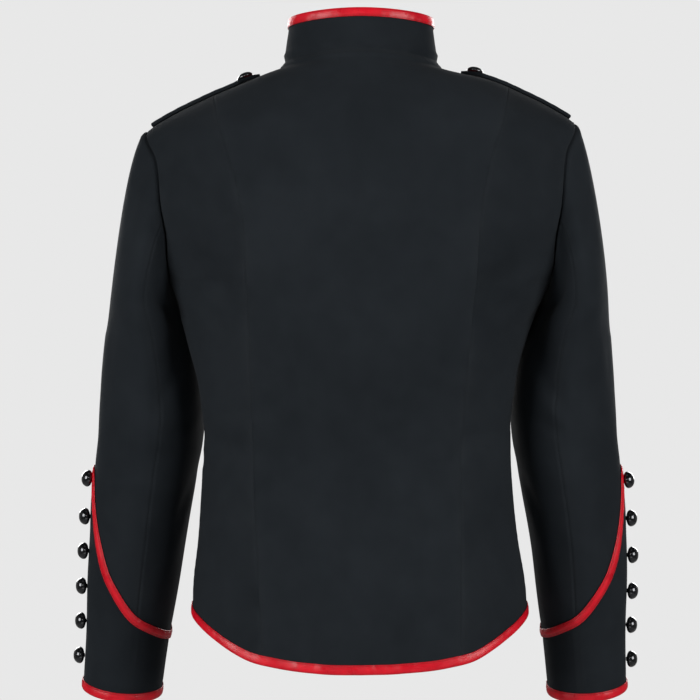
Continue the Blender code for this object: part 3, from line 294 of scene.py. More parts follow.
sleeve = {
    "sections": (
        # lean: how much further forward the inner line lies than the outer one
        ("level", "out", "back", "wide", "deep", "lean"),
        (-0.7100, 0.2636, -0.0655, 0.0438, 0.0411, 0.0000),
        (-0.6860, 0.2608, -0.0610, 0.0440, 0.0415, 0.0020),
        (-0.6300, 0.2554, -0.0515, 0.0458, 0.0428, 0.0050),
        (-0.5610, 0.2487, -0.0405, 0.0507, 0.0460, 0.0100),
        (-0.5160, 0.2440, -0.0335, 0.0527, 0.0480, 0.0150),
        (-0.4710, 0.2392, -0.0265, 0.0551, 0.0500, 0.0210),
        (-0.4370, 0.2342, -0.0220, 0.0555, 0.0515, 0.0260),
        (-0.4040, 0.2291, -0.0195, 0.0567, 0.0530, 0.0300),
        (-0.3660, 0.2266, -0.0180, 0.0566, 0.0550, 0.0315),
        (-0.3280, 0.2283, -0.0165, 0.0528, 0.0590, 0.0300),
        (-0.2840, 0.2330, -0.0120, 0.0443, 0.0665, 0.0240),
        (-0.2500, 0.2377, -0.0060, 0.0351, 0.0745, 0.0150),
        (-0.2200, 0.2358, -0.0010, 0.0325, 0.0755, 0.0080),
    ),
    "leanShare": {"left": 1.0, "right": 0.8}, "leanPower": 1.5,
    "swing": {
        "left": (
            ("level", "out"), (-0.6860, 0.0068), (-0.5610, 0.0045), (-0.4500, 0.0036), (-0.3600, 0.0040),
            (-0.3000, 0.0036), (-0.2500, 0.0008), (-0.2200, -0.0016),
        ),
        "right": (
            ("level", "out"),
            (-0.6860, -0.0066),
            (-0.6000, -0.0048),
            (-0.5200, -0.0022),
            (-0.4500, -0.0032),
            (-0.3600, -0.0034), (-0.2500, -0.0026), (-0.2200, -0.0030),
        ),
    },
    "cuffLine": (
        ("away", "level"), (0, -0.4460), (10, -0.4475), (18, -0.4555), (26, -0.4735), (44, -0.5180),
        (56, -0.5425), (75, -0.5680), (96, -0.5900), (125, -0.6050), (148, -0.6130), (180, -0.6190),
    ),
    "folds": {
        "left": (
            ("angle", "level", "slant", "long", "wide", "depth"),
            (128, -0.312, 24, 0.050, 0.015, -0.0050), (100, -0.415, 72, 0.036, 0.013, -0.0035),
            (272, -0.418, 84, 0.048, 0.013, -0.0060), (285, -0.462, 80, 0.040, 0.014, -0.0045),
            (232, -0.310, -28, 0.050, 0.016, -0.0050), (60, -0.340, 10, 0.060, 0.018, 0.0020),
            (180, -0.300, 0, 0.050, 0.030, 0.0026),
        ),
        "right": (
            ("angle", "level", "slant", "long", "wide", "depth"),
            (134, -0.306, 32, 0.056, 0.016, -0.0062), (92, -0.405, 66, 0.038, 0.014, -0.0038),
            (268, -0.414, 86, 0.050, 0.013, -0.0062), (280, -0.468, 78, 0.042, 0.014, -0.0048),
            (228, -0.316, -24, 0.052, 0.016, -0.0050), (56, -0.350, 8, 0.064, 0.018, 0.0020),
        ),
    },
    # finer creases: below the armpit, behind and inside the elbow, above the cuff
    "creases": {
        "left": (
            ("angle", "level", "slant", "long", "wide", "depth", "bend", "lip"),
            (120, -0.210, -14, 0.030, 0.0080, -0.0026, 0.003, 0.5),
            (142, -0.258, -26, 0.036, 0.0080, -0.0028, -0.004, 0.4),
            (112, -0.345, 30, 0.036, 0.0065, -0.0016, 0.004, 0.5),
            (118, -0.392, 64, 0.026, 0.0060, -0.0016, -0.004, 0.4),
            (84, -0.438, 76, 0.028, 0.0065, -0.0013, 0.004, 0.5),
            (256, -0.388, 74, 0.026, 0.0055, -0.0020, 0.004, 0.4),
            (262, -0.441, 82, 0.030, 0.0060, -0.0024, -0.005, 0.4),
            (292, -0.494, 70, 0.026, 0.0060, -0.0014, 0.003, 0.5),
            (244, -0.262, -36, 0.030, 0.0070, -0.0020, 0.004, 0.4),
            (228, -0.360, -20, 0.032, 0.0070, -0.0014, -0.004, 0.5),
            (40, -0.300, 6, 0.060, 0.0120, -0.0012, 0.005, 0.5),
            (22, -0.520, -5, 0.045, 0.0100, -0.0009, 0.004, 0.5),
            (120, -0.520, 8, 0.050, 0.0110, -0.0013, -0.005, 0.5),
            (150, -0.470, 20, 0.034, 0.0080, -0.0013, 0.004, 0.5),
            (330, -0.330, -8, 0.055, 0.0120, -0.0012, 0.005, 0.5),
            (205, -0.560, 10, 0.036, 0.0090, -0.0011, 0.003, 0.5),
        ),
        "right": (
            ("angle", "level", "slant", "long", "wide", "depth", "bend", "lip"),
            (112, -0.196, -10, 0.024, 0.0075, -0.0034, 0.002, 0.5),
            (134, -0.236, -34, 0.032, 0.0085, -0.0036, 0.003, 0.4),
            (150, -0.272, -22, 0.034, 0.0080, -0.0028, -0.003, 0.4),
            (106, -0.352, 36, 0.040, 0.0065, -0.0017, 0.004, 0.5),
            (114, -0.384, 60, 0.028, 0.0060, -0.0018, -0.004, 0.4),
            (80, -0.430, 74, 0.030, 0.0065, -0.0014, 0.004, 0.5),
            (252, -0.384, 78, 0.028, 0.0055, -0.0022, 0.004, 0.4),
            (260, -0.440, 84, 0.030, 0.0060, -0.0026, -0.005, 0.4),
            (290, -0.500, 74, 0.024, 0.0060, -0.0015, 0.003, 0.5),
            (240, -0.266, -32, 0.032, 0.0070, -0.0021, 0.004, 0.4),
            (224, -0.366, -22, 0.030, 0.0070, -0.0015, -0.004, 0.5),
            (34, -0.290, 8, 0.066, 0.0120, -0.0013, 0.005, 0.5),
            (24, -0.525, -6, 0.040, 0.0100, -0.0010, 0.004, 0.5),
            (116, -0.530, 10, 0.046, 0.0110, -0.0014, -0.005, 0.5),
            (148, -0.462, 24, 0.036, 0.0080, -0.0014, 0.004, 0.5),
            (334, -0.340, -6, 0.060, 0.0120, -0.0012, 0.005, 0.5),
        ),
    },
    "foldRadius": 0.052, "bicep": -0.250, "cuffHem": -0.6860, "backSeam": 105, "frontSeam": 240,
    "headRounding": {"left": 0.018, "right": 0.010}, "headFall": {"left": 0.22, "right": 0.35},
    "headReach": 0.30, "headLean": 0.35,
}


def sleeveCentre(level, side):
    out = column(sleeve["sections"], "out", level) + column(sleeve["swing"][side], "out", level)
    return np.stack([out, column(sleeve["sections"], "back", level), level + 0 * out], axis=-1)


def tubeForm(angle, level, side):  # angle 0 is the outer line, 90 the back, 180 the inner line
    feel = probe["level"]
    down = unit(sleeveCentre(level - feel, side) - sleeveCentre(level + feel, side))
    backward = unit(np.array([0.0, 1.0, 0.0]) - down * down[..., 1:2])
    turn = np.radians(angle)
    fold = pressed(sleeve["folds"][side], angle, level, sleeve["foldRadius"])
    wide, deep, lean = columns(sleeve["sections"], "wide deep lean", level)
    inner = np.maximum(-np.cos(turn), 0) ** sleeve["leanPower"] * sleeve["leanShare"][side]
    wide = (wide + fold) * np.cos(turn)
    deep = (deep + fold) * np.sin(turn) - lean * inner
    return sleeveCentre(level, side) + np.cross(down, backward) * wide[..., None] + backward * deep[..., None]


def sleeveCreased(angle, level, side):
    return pressed(sleeve["creases"][side], angle, level, sleeve["foldRadius"])[..., None]


def tubeSurface(angle, level, side):
    out = facing(lambda a, b: tubeForm(a, b, side), angle, level)
    return tubeForm(angle, level, side) + out * sleeveCreased(angle, level, side)


def tubeOut(angle, level, side):
    return facing(lambda a, b: tubeSurface(a, b, side), angle, level)


def bezier(t, start, first, second, end):
    return (1 - t) ** 3 * start + 3 * (1 - t) ** 2 * t * first + 3 * (1 - t) * t ** 2 * second + t ** 3 * end


def capForm(turn, down, side):  # the sleeve head, from the armhole (down 0) to the bicep (down 1)
    angle, level = armholePlace(turn)
    start = mirrored(bodySurface(sides[side] * angle, level), side) + np.array([cloth["seamGap"], 0, 0])
    end = tubeForm(turn, sleeve["bicep"] + 0 * turn, side)
    falling = unit(tubeForm(turn, sleeve["bicep"] - probe["level"] + 0 * turn, side) - end)
    cosine, sine = np.cos(np.radians(turn)), np.sin(np.radians(turn))
    leaving = unit(np.stack([(1 + cosine) / 2, sleeve["headLean"] * sine, (cosine - 1) / 2], axis=-1))
    reach = np.linalg.norm(end - start, axis=-1)
    rounding = np.minimum(sleeve["headRounding"][side], sleeve["headReach"] * reach)
    first = start + leaving * rounding[..., None]
    second = end - falling * (sleeve["headFall"][side] * reach)[..., None]
    return bezier(down[..., None], start, first, second, end)


def capFacing(turn, down, side):
    low, high = np.maximum(down - probe["share"], 0), np.minimum(down + probe["share"], 1)
    along = capForm(turn, low, side) - capForm(turn, high, side)
    around = capForm(turn + probe["turn"], down, side) - capForm(turn - probe["turn"], down, side)
    return unit(np.cross(around, along))


def cuffLine(angle):
    return column(sleeve["cuffLine"], "level", np.abs((angle + 180) % 360 - 180))


def mitre(first, second):
    both = np.sum(first * second, axis=-1, keepdims=True)
    return (first + second) / (1 + np.maximum(both, cloth["mitreLeast"]))


def armholeEdge(turn, side):  # directions through the cloth where the body and the sleeve meet
    angle, level = armholePlace(turn)
    bodyWay = mirrored(bodyOut(sides[side] * angle, level), side)
    sleeveWay = capFacing(turn, 0 * turn, side)
    share = ease(*cloth["mitreFades"], np.sum(bodyWay * sleeveWay, axis=-1, keepdims=True))
    joined = mitre(bodyWay, sleeveWay)
    return share * joined + (1 - share) * bodyWay, share * joined + (1 - share) * sleeveWay


collar = {
    "tall": {"side": 0.0465, "back": 0.0425, "front": 0.0445},
    "top": {"side": 0.0780, "back": 0.0625, "front": 0.0730},
    "end": 178, "binding": 0.80, "columns": 130, "trimColumns": 190,
    "tallest": 0.045, "step": 0.0040, "edgeRows": (0.0, 0.0006, 0.0014, 0.0026),
    "trimDown": 0.0095,  # how far down the binding presses on the cloth
    "waver": 0.0005, "waverLong": 0.031, "waverPhase": 0.8, "waverFades": 0.02,
}


def collarForm(angle, up):
    tall, top = collar["tall"], collar["top"]
    turn = np.radians(angle)
    atBack = np.cos(turn) > 0
    height = tall["side"] + (np.where(atBack, tall["back"], tall["front"]) - tall["side"]) * np.cos(turn) ** 2
    reach = ring(angle, top["side"], np.where(atBack, top["back"], top["front"]), 2.0)
    base = bodyForm(angle, body["neckLevel"] + 0 * angle)
    rim = np.stack([reach * np.sin(turn), reach * np.cos(turn), base[..., 2] + height], axis=-1)
    return base + (rim - base) * up[..., None]


def collarOut(angle, up):
    return -facing(collarForm, angle, up, probe["share"])


def newGroup(name, inputs, outputs):
    group = bpy.data.node_groups.new(name, "ShaderNodeTree")
    for label, kind, value in inputs:
        socket = group.interface.new_socket(name=label, in_out="INPUT", socket_type="NodeSocket" + kind)
        if value is not None:
            socket.default_value = value
    for label, kind in outputs:
        group.interface.new_socket(name=label, in_out="OUTPUT", socket_type="NodeSocket" + kind)
    group.nodes.new("NodeGroupInput").location = (-900, 0)
    group.nodes.new("NodeGroupOutput").location = (900, 0)
    return group


def feed(tree, socket, value):  # a plain value, or the socket that it comes from
    if isinstance(value, bpy.types.NodeSocket):
        tree.links.new(value, socket)
    else:
        socket.default_value = value


def node(tree, kind, at, inputs=(), **settings):
    made = tree.nodes.new("ShaderNode" + kind)
    made.location = at
    for key, value in settings.items():
        setattr(made, key, value)
    for socket, value in dict(inputs).items():
        feed(tree, made.inputs[socket], value)
    return made


def sums(tree, operation, at, *values):
    return node(tree, "Math", at, dict(enumerate(values)), operation=operation).outputs[0]


def vectors(tree, operation, at, *values):
    return node(tree, "VectorMath", at, dict(enumerate(values)), operation=operation).outputs[0]


def noise(tree, at, place, scale, detail, **inputs):
    return node(tree, "TexNoise", at, {"Vector": place, "Scale": scale, "Detail": detail, **inputs})


def spread(tree, at, value, start, end, low=0.0, high=1.0):  # start to end drawn out to low to high
    inputs = {"Value": value, "From Min": start, "From Max": end, "To Min": low, "To Max": high}
    return node(tree, "MapRange", at, inputs).outputs["Result"]


def ends(group):
    return group.nodes["Group Input"].outputs, group.nodes["Group Output"].inputs


fullTurn = 6.2832
twill = {
    "rise": 1.35, "wander": 0.0009, "weftPitch": 1.9, "rib": 0.28, "weft": 0.10, "middle": 0.5,
    "shade": (0.32, 0.80),
}


def twillWeave():  # slanting ribs of a fulled cloth, broken up by its nap
    group = newGroup("twillWeave", (
        ("Cut", "Vector", None), ("Pitch", "Float", 0.0011), ("Nap", "Float", 0.6),
    ), (("Height", "Float"), ("Shade", "Float")))
    given, out = ends(group)
    cut = node(group, "SeparateXYZ", (-700, 0), {0: given["Cut"]})
    nap = noise(group, (-700, -260), given["Cut"], 2600.0, 3.0, Roughness=0.6, Distortion=0.4)
    slub = noise(group, (-700, -520), given["Cut"], 310.0, 2.0)
    turns = sums(group, "DIVIDE", (-700, 200), fullTurn, given["Pitch"])
    rise = sums(group, "MULTIPLY", (-500, 100), cut.outputs["Y"], twill["rise"])
    across = sums(group, "ADD", (-340, 100), cut.outputs["X"], rise)
    wander = sums(group, "MULTIPLY", (-500, -420), slub.outputs["Fac"], twill["wander"])
    across = sums(group, "ADD", (-200, 60), across, wander)
    rib = sums(group, "SINE", (-40, 100), sums(group, "MULTIPLY", (-120, 100), across, turns))
    weft = sums(group, "MULTIPLY", (-340, -80), cut.outputs["Y"], turns)
    weft = sums(group, "SINE", (-180, -80), sums(group, "MULTIPLY", (-260, -80), weft, twill["weftPitch"]))
    weft = sums(group, "MULTIPLY_ADD", (60, -120), weft, twill["weft"], twill["middle"])
    height = sums(group, "MULTIPLY_ADD", (140, 60), rib, twill["rib"], weft)
    fibre = sums(group, "MULTIPLY", (-300, -300), nap.outputs["Fac"], given["Nap"])
    height = sums(group, "ADD", (320, 0), height, fibre)
    group.links.new(height, out["Height"])
    group.links.new(sums(group, "MULTIPLY_ADD", (500, -180), height, *twill["shade"]), out["Shade"])
    return group


mottled = {"finer": 6.3, "broad": 0.7, "fine": 0.3, "range": (0.36, 0.64)}


def clothMottle():  # slow uneven shade of a pressed, handled cloth
    group = newGroup("clothMottle", (
        ("Place", "Vector", None), ("Scale", "Float", 9.0), ("Strength", "Float", 0.2),
    ), (("Shade", "Float"), ("Patch", "Float")))
    given, out = ends(group)
    broad = noise(group, (-600, 100), given["Place"], given["Scale"], 4.0, Roughness=0.55, Distortion=0.5)
    finer = sums(group, "MULTIPLY", (-760, -200), given["Scale"], mottled["finer"])
    fine = noise(group, (-600, -160), given["Place"], finer, 3.0)
    fine = sums(group, "MULTIPLY", (-420, -160), fine.outputs["Fac"], mottled["fine"])
    both = sums(group, "MULTIPLY_ADD", (-300, 60), broad.outputs["Fac"], mottled["broad"], fine)
    patch = spread(group, (-120, 60), both, *mottled["range"])
    group.links.new(patch, out["Patch"])
    centred = sums(group, "SUBTRACT", (60, -60), patch, 0.5)
    scaled = sums(group, "MULTIPLY", (220, -60), centred, given["Strength"])
    group.links.new(sums(group, "ADD", (380, -60), scaled, 1.0), out["Shade"])
    return group


lint = {"bend": (0.006, 0.0012, 0.0), "chosen": 0.62}


def lintSpecks():  # a few short pale fibres caught in the nap
    group = newGroup("lintSpecks", (
        ("Cut", "Vector", None), ("Per metre", "Float", 46.0), ("Size", "Float", 0.018),
    ), (("Mask", "Float"),))
    given, out = ends(group)
    bent = noise(group, (-700, -200), given["Cut"], 420.0, 1.0)
    bent = vectors(group, "MULTIPLY", (-500, -200), bent.outputs["Color"], lint["bend"])
    place = vectors(group, "ADD", (-320, -80), given["Cut"], bent)
    cell = node(group, "TexVoronoi", (-140, 0), {"Vector": place, "Scale": given["Per metre"]})
    inside = sums(group, "LESS_THAN", (60, 40), cell.outputs["Distance"], given["Size"])
    chosen = node(group, "SeparateColor", (60, -140), {0: cell.outputs["Color"]})
    chosen = sums(group, "GREATER_THAN", (240, -140), chosen.outputs[0], lint["chosen"])
    group.links.new(sums(group, "MULTIPLY", (420, 0), inside, chosen), out["Mask"])
    return group


floats = {"drawn": (90.0, 1500.0, 1.0), "thread": 0.35, "range": (0.35, 1.15), "shade": (0.78, 1.16)}


def satinThreads():  # long floating threads, which make the shine run in streaks
    group = newGroup("satinThreads", (
        ("Cut", "Vector", None), ("Pitch", "Float", 0.00034), ("Streak", "Float", 0.5),
    ), (("Height", "Float"), ("Shade", "Float"), ("Gloss", "Float")))
    given, out = ends(group)
    cut = node(group, "SeparateXYZ", (-700, 100), {0: given["Cut"]})
    turns = sums(group, "DIVIDE", (-700, 260), fullTurn, given["Pitch"])
    thread = sums(group, "SINE", (-380, 200), sums(group, "MULTIPLY", (-520, 200), cut.outputs["Y"], turns))
    drawn = vectors(group, "MULTIPLY", (-700, -140), given["Cut"], floats["drawn"])
    streaks = noise(group, (-500, -140), drawn, 1.0, 3.0)
    patches = noise(group, (-500, -400), given["Cut"], 75.0, 2.0)
    height = sums(group, "MULTIPLY_ADD", (-160, 160), thread, floats["thread"], streaks.outputs["Fac"])
    group.links.new(height, out["Height"])
    lines = sums(group, "MULTIPLY", (-160, -140), streaks.outputs["Fac"], given["Streak"])
    lines = sums(group, "ADD", (-40, -240), lines, patches.outputs["Fac"])
    group.links.new(spread(group, (60, -140), lines, *floats["range"], *floats["shade"]), out["Shade"])
    group.links.new(patches.outputs["Fac"], out["Gloss"])
    return group


# heights up the button, as shares of its outline, between which each rubbed band fades in and out
rubbed = {"rimIn": (0.34, 0.40), "rimOut": (0.47, 0.41), "crown": (0.80, 1.0), "crownMost": 0.35}


def rubbedMetal():  # blackened metal: fine scratches, and paler where the rim and crown are rubbed
    group = newGroup("rubbedMetal", (
        ("Place", "Vector", None), ("Outline", "Vector", None), ("Worn", "Float", 0.5),
    ), (("Rub", "Float"), ("Height", "Float"), ("Smear", "Float")))
    given, out = ends(group)
    up = node(group, "SeparateXYZ", (-700, 200), {0: given["Outline"]}).outputs["Y"]
    rim = spread(group, (-500, 300), up, *rubbed["rimIn"])
    rim = sums(group, "MULTIPLY", (-300, 180), rim, spread(group, (-500, 60), up, *rubbed["rimOut"]))
    crown = spread(group, (-500, -180), up, *rubbed["crown"], 0.0, rubbed["crownMost"])
    broken = noise(group, (-700, -420), given["Place"], 900.0, 4.0, Roughness=0.7)
    rub = sums(group, "ADD", (-120, 80), rim, crown)
    rub = sums(group, "MULTIPLY", (40, 80), rub, broken.outputs["Fac"])
    group.links.new(sums(group, "MULTIPLY", (200, 80), rub, given["Worn"]), out["Rub"])
    scratch = vectors(group, "MULTIPLY", (-700, -680), given["Place"], (300.0, 5200.0, 900.0))
    group.links.new(noise(group, (-500, -680), scratch, 1.0, 2.0).outputs["Fac"], out["Height"])
    group.links.new(noise(group, (-500, -920), given["Place"], 240.0, 3.0).outputs["Fac"], out["Smear"])
    return group


effects = (twillWeave(), clothMottle(), lintSpecks(), satinThreads(), rubbedMetal())
groups = {group.name: group for group in effects}


def placed(tree, name, at, inputs):
    made = tree.nodes.new("ShaderNodeGroup")
    made.node_tree = groups[name]
    made.location = at
    for socket, value in inputs.items():
        feed(tree, made.inputs[socket], value)
    return made.outputs


def newMaterial(name):
    material = bpy.data.materials.new(name)
    material.use_nodes = True
    tree = material.node_tree
    cut = node(tree, "UVMap", (-1500, 200), uv_map="cut").outputs["UV"]
    place = node(tree, "TexCoord", (-1500, -200)).outputs["Object"]
    return material, tree, tree.nodes["Principled BSDF"], cut, place


def toned(colour, tone):
    return tuple(tone * part for part in colour[:3]) + (1,)


def nearSeams(tree, at):
    return node(tree, "Attribute", at, attribute_name="nearSeam").outputs["Fac"]


def blended(tree, at, mask, first, second, **settings):
    mixed = node(tree, "Mix", at, data_type="RGBA", **settings)
    for socket, value in (("Factor", mask), ("A", first), ("B", second)):
        feed(tree, mixed.inputs[socket], value)
    return mixed.outputs["Result"]


def shaded(tree, at, colour, *shades):  # a colour times each of the shades
    for number, shade in enumerate(shades):
        x, y = at[0] + 200 * number, at[1]
        grey = node(tree, "CombineColor", (x - 90, y - 160), {0: shade, 1: shade, 2: shade}).outputs[0]
        colour = blended(tree, (x, y), 1.0, colour, grey, blend_type="MULTIPLY")
    return colour


def dress(tree, shader, colour, rough, height, bump):  # bump: how deep, and how strong
    lit = {"Height": height, "Distance": bump[0], "Strength": bump[1]}
    normal = node(tree, "Bump", (-120, -360), lit).outputs["Normal"]
    for socket, source in (("Base Color", colour), ("Roughness", rough), ("Normal", normal)):
        tree.links.new(source, shader.inputs[socket])


wool = {
    # pressed: a paler tone near seams and edges, partly wear from pressing and rubbing, partly a painted
    # sheen where the seam ridges catch the light
    "colour": (0.0092, 0.0118, 0.0146, 1), "pressed": (0.0150, 0.0180, 0.0212, 1),
    "lint": (0.060, 0.064, 0.068, 1),
    "pitch": 0.0012, "nap": 0.62, "bump": (0.00016, 0.7), "roughness": (0.96, 0.82), "specular": 0.12,
    "sheen": 0.02, "sheenRoughness": 0.45, "pressedSheenShare": 0.8,
    # a tone for each piece, and where in the mottle it was cut
    "pieces": (
        ("woolBack", 1.04, 0.0), ("woolSide", 0.96, 3.1), ("woolFront", 1.00, 5.3),
        ("woolSleeve", 1.00, 8.2), ("woolCuff", 0.98, 11.7), ("woolCollar", 1.02, 14.9),
    ),
}


def makeWool(name, tone, seed):
    material, tree, shader, cut, place = newMaterial(name)
    moved = vectors(tree, "ADD", (-1300, -200), place, (seed, 0.37 * seed, 1.9 * seed))
    weave = placed(tree, "twillWeave", (-1000, 200), {"Cut": cut, "Pitch": wool["pitch"], "Nap": wool["nap"]})
    mottle = placed(tree, "clothMottle", (-1000, -100), {"Place": moved, "Scale": 8.0, "Strength": 0.22})
    specks = placed(tree, "lintSpecks", (-1000, -400), {"Cut": cut})
    colour = shaded(tree, (-700, 200), toned(wool["colour"], tone), weave["Shade"], mottle["Shade"])
    # paler near the seams and edges: partly pressing wear, partly painted sheen
    pressedSheenMask = sums(tree, "MULTIPLY", (-780, -520), mottle["Patch"], wool["pressedSheenShare"])
    pressedSheenMask = sums(tree, "MULTIPLY", (-640, -560), nearSeams(tree, (-1000, -640)), pressedSheenMask)
    colour = blended(tree, (-260, 160), pressedSheenMask, colour, wool["pressed"])
    colour = blended(tree, (-80, 160), specks["Mask"], colour, wool["lint"])
    rough = spread(tree, (-300, -160), mottle["Patch"], 0.0, 1.0, *wool["roughness"])
    dress(tree, shader, colour, rough, weave["Height"], wool["bump"])
    shader.inputs["Specular IOR Level"].default_value = wool["specular"]
    shader.inputs["Sheen Weight"].default_value = wool["sheen"]
    shader.inputs["Sheen Roughness"].default_value = wool["sheenRoughness"]
    return material


satin = {
    # deep: a darker red, painted as shade along the stitch lines and at the folded edge
    "colour": (0.570, 0.0016, 0.0125, 1), "deep": (0.310, 0.0008, 0.0060, 1), "paintedShadeShare": 0.75,
    "pitch": 0.00042, "bump": (0.00006, 0.6), "roughness": (0.26, 0.46), "glossy": (0.3, 0.7),
    "specular": 0.36,
    "pieces": (("satinBinding", 1.00, 0.0), ("satinTape", 0.97, 2.3)),
}


def makeSatin(name, tone, seed):
    material, tree, shader, cut, place = newMaterial(name)
    moved = vectors(tree, "ADD", (-1300, 200), cut, (0.31 * seed, 0.17 * seed, 0))
    weaving = {"Cut": moved, "Pitch": satin["pitch"], "Streak": 0.6}
    threads = placed(tree, "satinThreads", (-1000, 200), weaving)
    mottle = placed(tree, "clothMottle", (-1000, -140), {"Place": place, "Scale": 30.0, "Strength": 0.20})
    colour = shaded(tree, (-700, 200), toned(satin["colour"], tone), threads["Shade"], mottle["Shade"])
    # painted shade along the stitches and at the folded edges, carried in the nearSeam attribute
    folded = sums(tree, "MULTIPLY", (-420, -60), nearSeams(tree, (-1000, -420)), satin["paintedShadeShare"])
    colour = blended(tree, (-240, 160), folded, colour, satin["deep"])
    rough = spread(tree, (-300, -160), threads["Gloss"], *satin["glossy"], *satin["roughness"])
    dress(tree, shader, colour, rough, threads["Height"], satin["bump"])
    shader.inputs["Specular IOR Level"].default_value = satin["specular"]
    return material


thread = {
    "colour": (0.420, 0.0040, 0.0070, 1), "pitch": 0.00030, "twist": (0.00007, 0.8),
    "roughness": (0.42, 0.60),
}


def makeThread(name):
    material, tree, shader, cut, place = newMaterial(name)
    twisted = {"Cut": cut, "Pitch": thread["pitch"], "Streak": 0.8}
    strands = placed(tree, "satinThreads", (-1000, 200), twisted)
    mottle = placed(tree, "clothMottle", (-1000, -140), {"Place": place, "Scale": 60.0, "Strength": 0.35})
    colour = shaded(tree, (-700, 200), thread["colour"], strands["Shade"], mottle["Shade"])
    rough = spread(tree, (-300, -160), mottle["Patch"], 0.0, 1.0, *thread["roughness"])
    dress(tree, shader, colour, rough, strands["Height"], thread["twist"])
    return material


gunmetal = {
    "colour": (0.022, 0.023, 0.026, 1), "rubbed": (0.20, 0.20, 0.20, 1), "worn": 0.45, "metallic": 0.85,
    "roughness": (0.10, 0.22), "smeared": (0.3, 0.7), "scratch": (0.00001, 0.5),
    "coat": 0.8, "coatRoughness": 0.06,
}


def makeGunmetal(name):
    material, tree, shader, cut, place = newMaterial(name)
    turned = {"Place": place, "Outline": cut, "Worn": gunmetal["worn"]}
    metal = placed(tree, "rubbedMetal", (-900, 100), turned)
    mottle = placed(tree, "clothMottle", (-900, -240), {"Place": place, "Scale": 90.0, "Strength": 0.5})
    colour = shaded(tree, (-600, 200), gunmetal["colour"], mottle["Shade"])
    colour = blended(tree, (-300, 160), metal["Rub"], colour, gunmetal["rubbed"])
    rough = spread(tree, (-300, -160), metal["Smear"], *gunmetal["smeared"], *gunmetal["roughness"])
    dress(tree, shader, colour, rough, metal["Height"], gunmetal["scratch"])
    shader.inputs["Metallic"].default_value = gunmetal["metallic"]
    shader.inputs["Coat Weight"].default_value = gunmetal["coat"]
    shader.inputs["Coat Roughness"].default_value = gunmetal["coatRoughness"]
    return material


looks = {row[0]: makeWool(*row) for row in wool["pieces"]}
looks.update({row[0]: makeSatin(*row) for row in satin["pieces"]})
looks["redThread"] = makeThread("redThread")
looks["gunmetal"] = makeGunmetal("gunmetal")
print("materials:", len(looks))


def addMesh(name, points, quads, cut, look, nearSeam=None, caps=(), sharp=55):
    quads, cut = np.asarray(quads).reshape(-1, 4), np.asarray(cut).reshape(-1, 4, 2)
    first, second, third, fourth = np.moveaxis(points[quads], 1, 0)
    volume = np.sum(first * np.cross(second - first, third - first))
    volume += np.sum(first * np.cross(third - first, fourth - first))
    if volume < 0:  # wound inside out
        quads, cut = quads[:, ::-1], cut[:, ::-1]
        caps = [cap[::-1] for cap in caps]
    mesh = bpy.data.meshes.new(name)
    mesh.from_pydata(points.tolist(), [], quads.tolist() + [list(map(int, cap)) for cap in caps])
    layer = mesh.uv_layers.new(name="cut")
    flat = cut.reshape(-1, 2)
    spare = np.zeros((len(mesh.loops) - len(flat), 2))
    layer.data.foreach_set("uv", np.concatenate([flat, spare]).astype(np.float32).ravel())
    if nearSeam is not None:
        values = mesh.attributes.new("nearSeam", "FLOAT", "POINT").data
        values.foreach_set("value", nearSeam.astype(np.float32).ravel())
    mesh.shade_smooth()
    mesh.set_sharp_from_angle(angle=np.radians(sharp))
    mesh.materials.append(looks[look])
    piece = bpy.data.objects.new(name, mesh)
    bpy.context.scene.collection.objects.link(piece)
    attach(piece, "root")
    allPieces[name] = piece
    return piece


def strips(rows, columns, around, looped=False):  # each quad's corners in a grid of points, and in its cut
    lastRow, lastColumn = (rows if looped else rows - 1), (columns if around else columns - 1)
    r, c = np.meshgrid(np.arange(lastRow), np.arange(lastColumn), indexing="ij")
    r, c = r.ravel(), c.ravel()
    corners = ((r, c), (r, c + 1), (r + 1, c + 1), (r + 1, c))
    return np.stack([a % rows * columns + b % columns for a, b in corners], 1), corners


def endCaps(rows, columns):  # the first and the last ring of a grid of points, as faces
    return [np.arange(columns)[::-1], (rows - 1) * columns + np.arange(columns)]


def clothWall(name, outer, inner, look, nearSeam, around=False):
    rows, columns = outer.shape[:2]
    count = rows * columns
    quads, corners = strips(rows, columns, around)
    wrapped = np.concatenate([outer, outer[:, :1]], axis=1) if around else outer
    across = walked(wrapped, 1)
    across = across - across[:, across.shape[1] // 2][:, None]
    along = np.repeat(walked(wrapped, 0)[:, wrapped.shape[1] // 2][:, None], wrapped.shape[1], axis=1)
    grain = np.stack([across, along], axis=-1)
    face = np.stack([grain[a, b] for a, b in corners], 1)
    allQuads = [quads, quads[:, ::-1] + count]
    allCuts = [face, face[:, ::-1]]

    def rim(first, second, firstCut, secondCut):
        allQuads.append(np.stack([second, first, first + count, second + count], 1))
        inward = np.array([0.0, cloth["thick"]])
        allCuts.append(np.stack([secondCut, firstCut, firstCut + inward, secondCut + inward], 1))

    c = np.arange(columns if around else columns - 1)
    for row, flip in ((0, False), (rows - 1, True)):
        a, b = (c + 1, c) if flip else (c, c + 1)
        rim(row * columns + a % columns, row * columns + b % columns, grain[row, a], grain[row, b])
    if not around:
        r = np.arange(rows - 1)
        for col, flip in ((0, True), (columns - 1, False)):
            a, b = (r + 1, r) if flip else (r, r + 1)
            rim(a * columns + col, b * columns + col, grain[a, col], grain[b, col])
    points = np.concatenate([outer.reshape(-1, 3), inner.reshape(-1, 3)])
    near = np.concatenate([nearSeam.ravel(), nearSeam.ravel()])
    piece = addMesh(name, points, np.concatenate(allQuads), np.concatenate(allCuts), look, near)
    corner = wrapped[:-1, :-1], wrapped[1:, :-1], wrapped[1:, 1:], wrapped[:-1, 1:]
    area = np.linalg.norm(np.cross(corner[2] - corner[0], corner[3] - corner[1]), axis=-1).sum() / 2
    return piece, (np.ptp(across, axis=1).max(), walked(wrapped, 0)[-1].max(), area)


def declare(replaced):
    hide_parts(replaced)


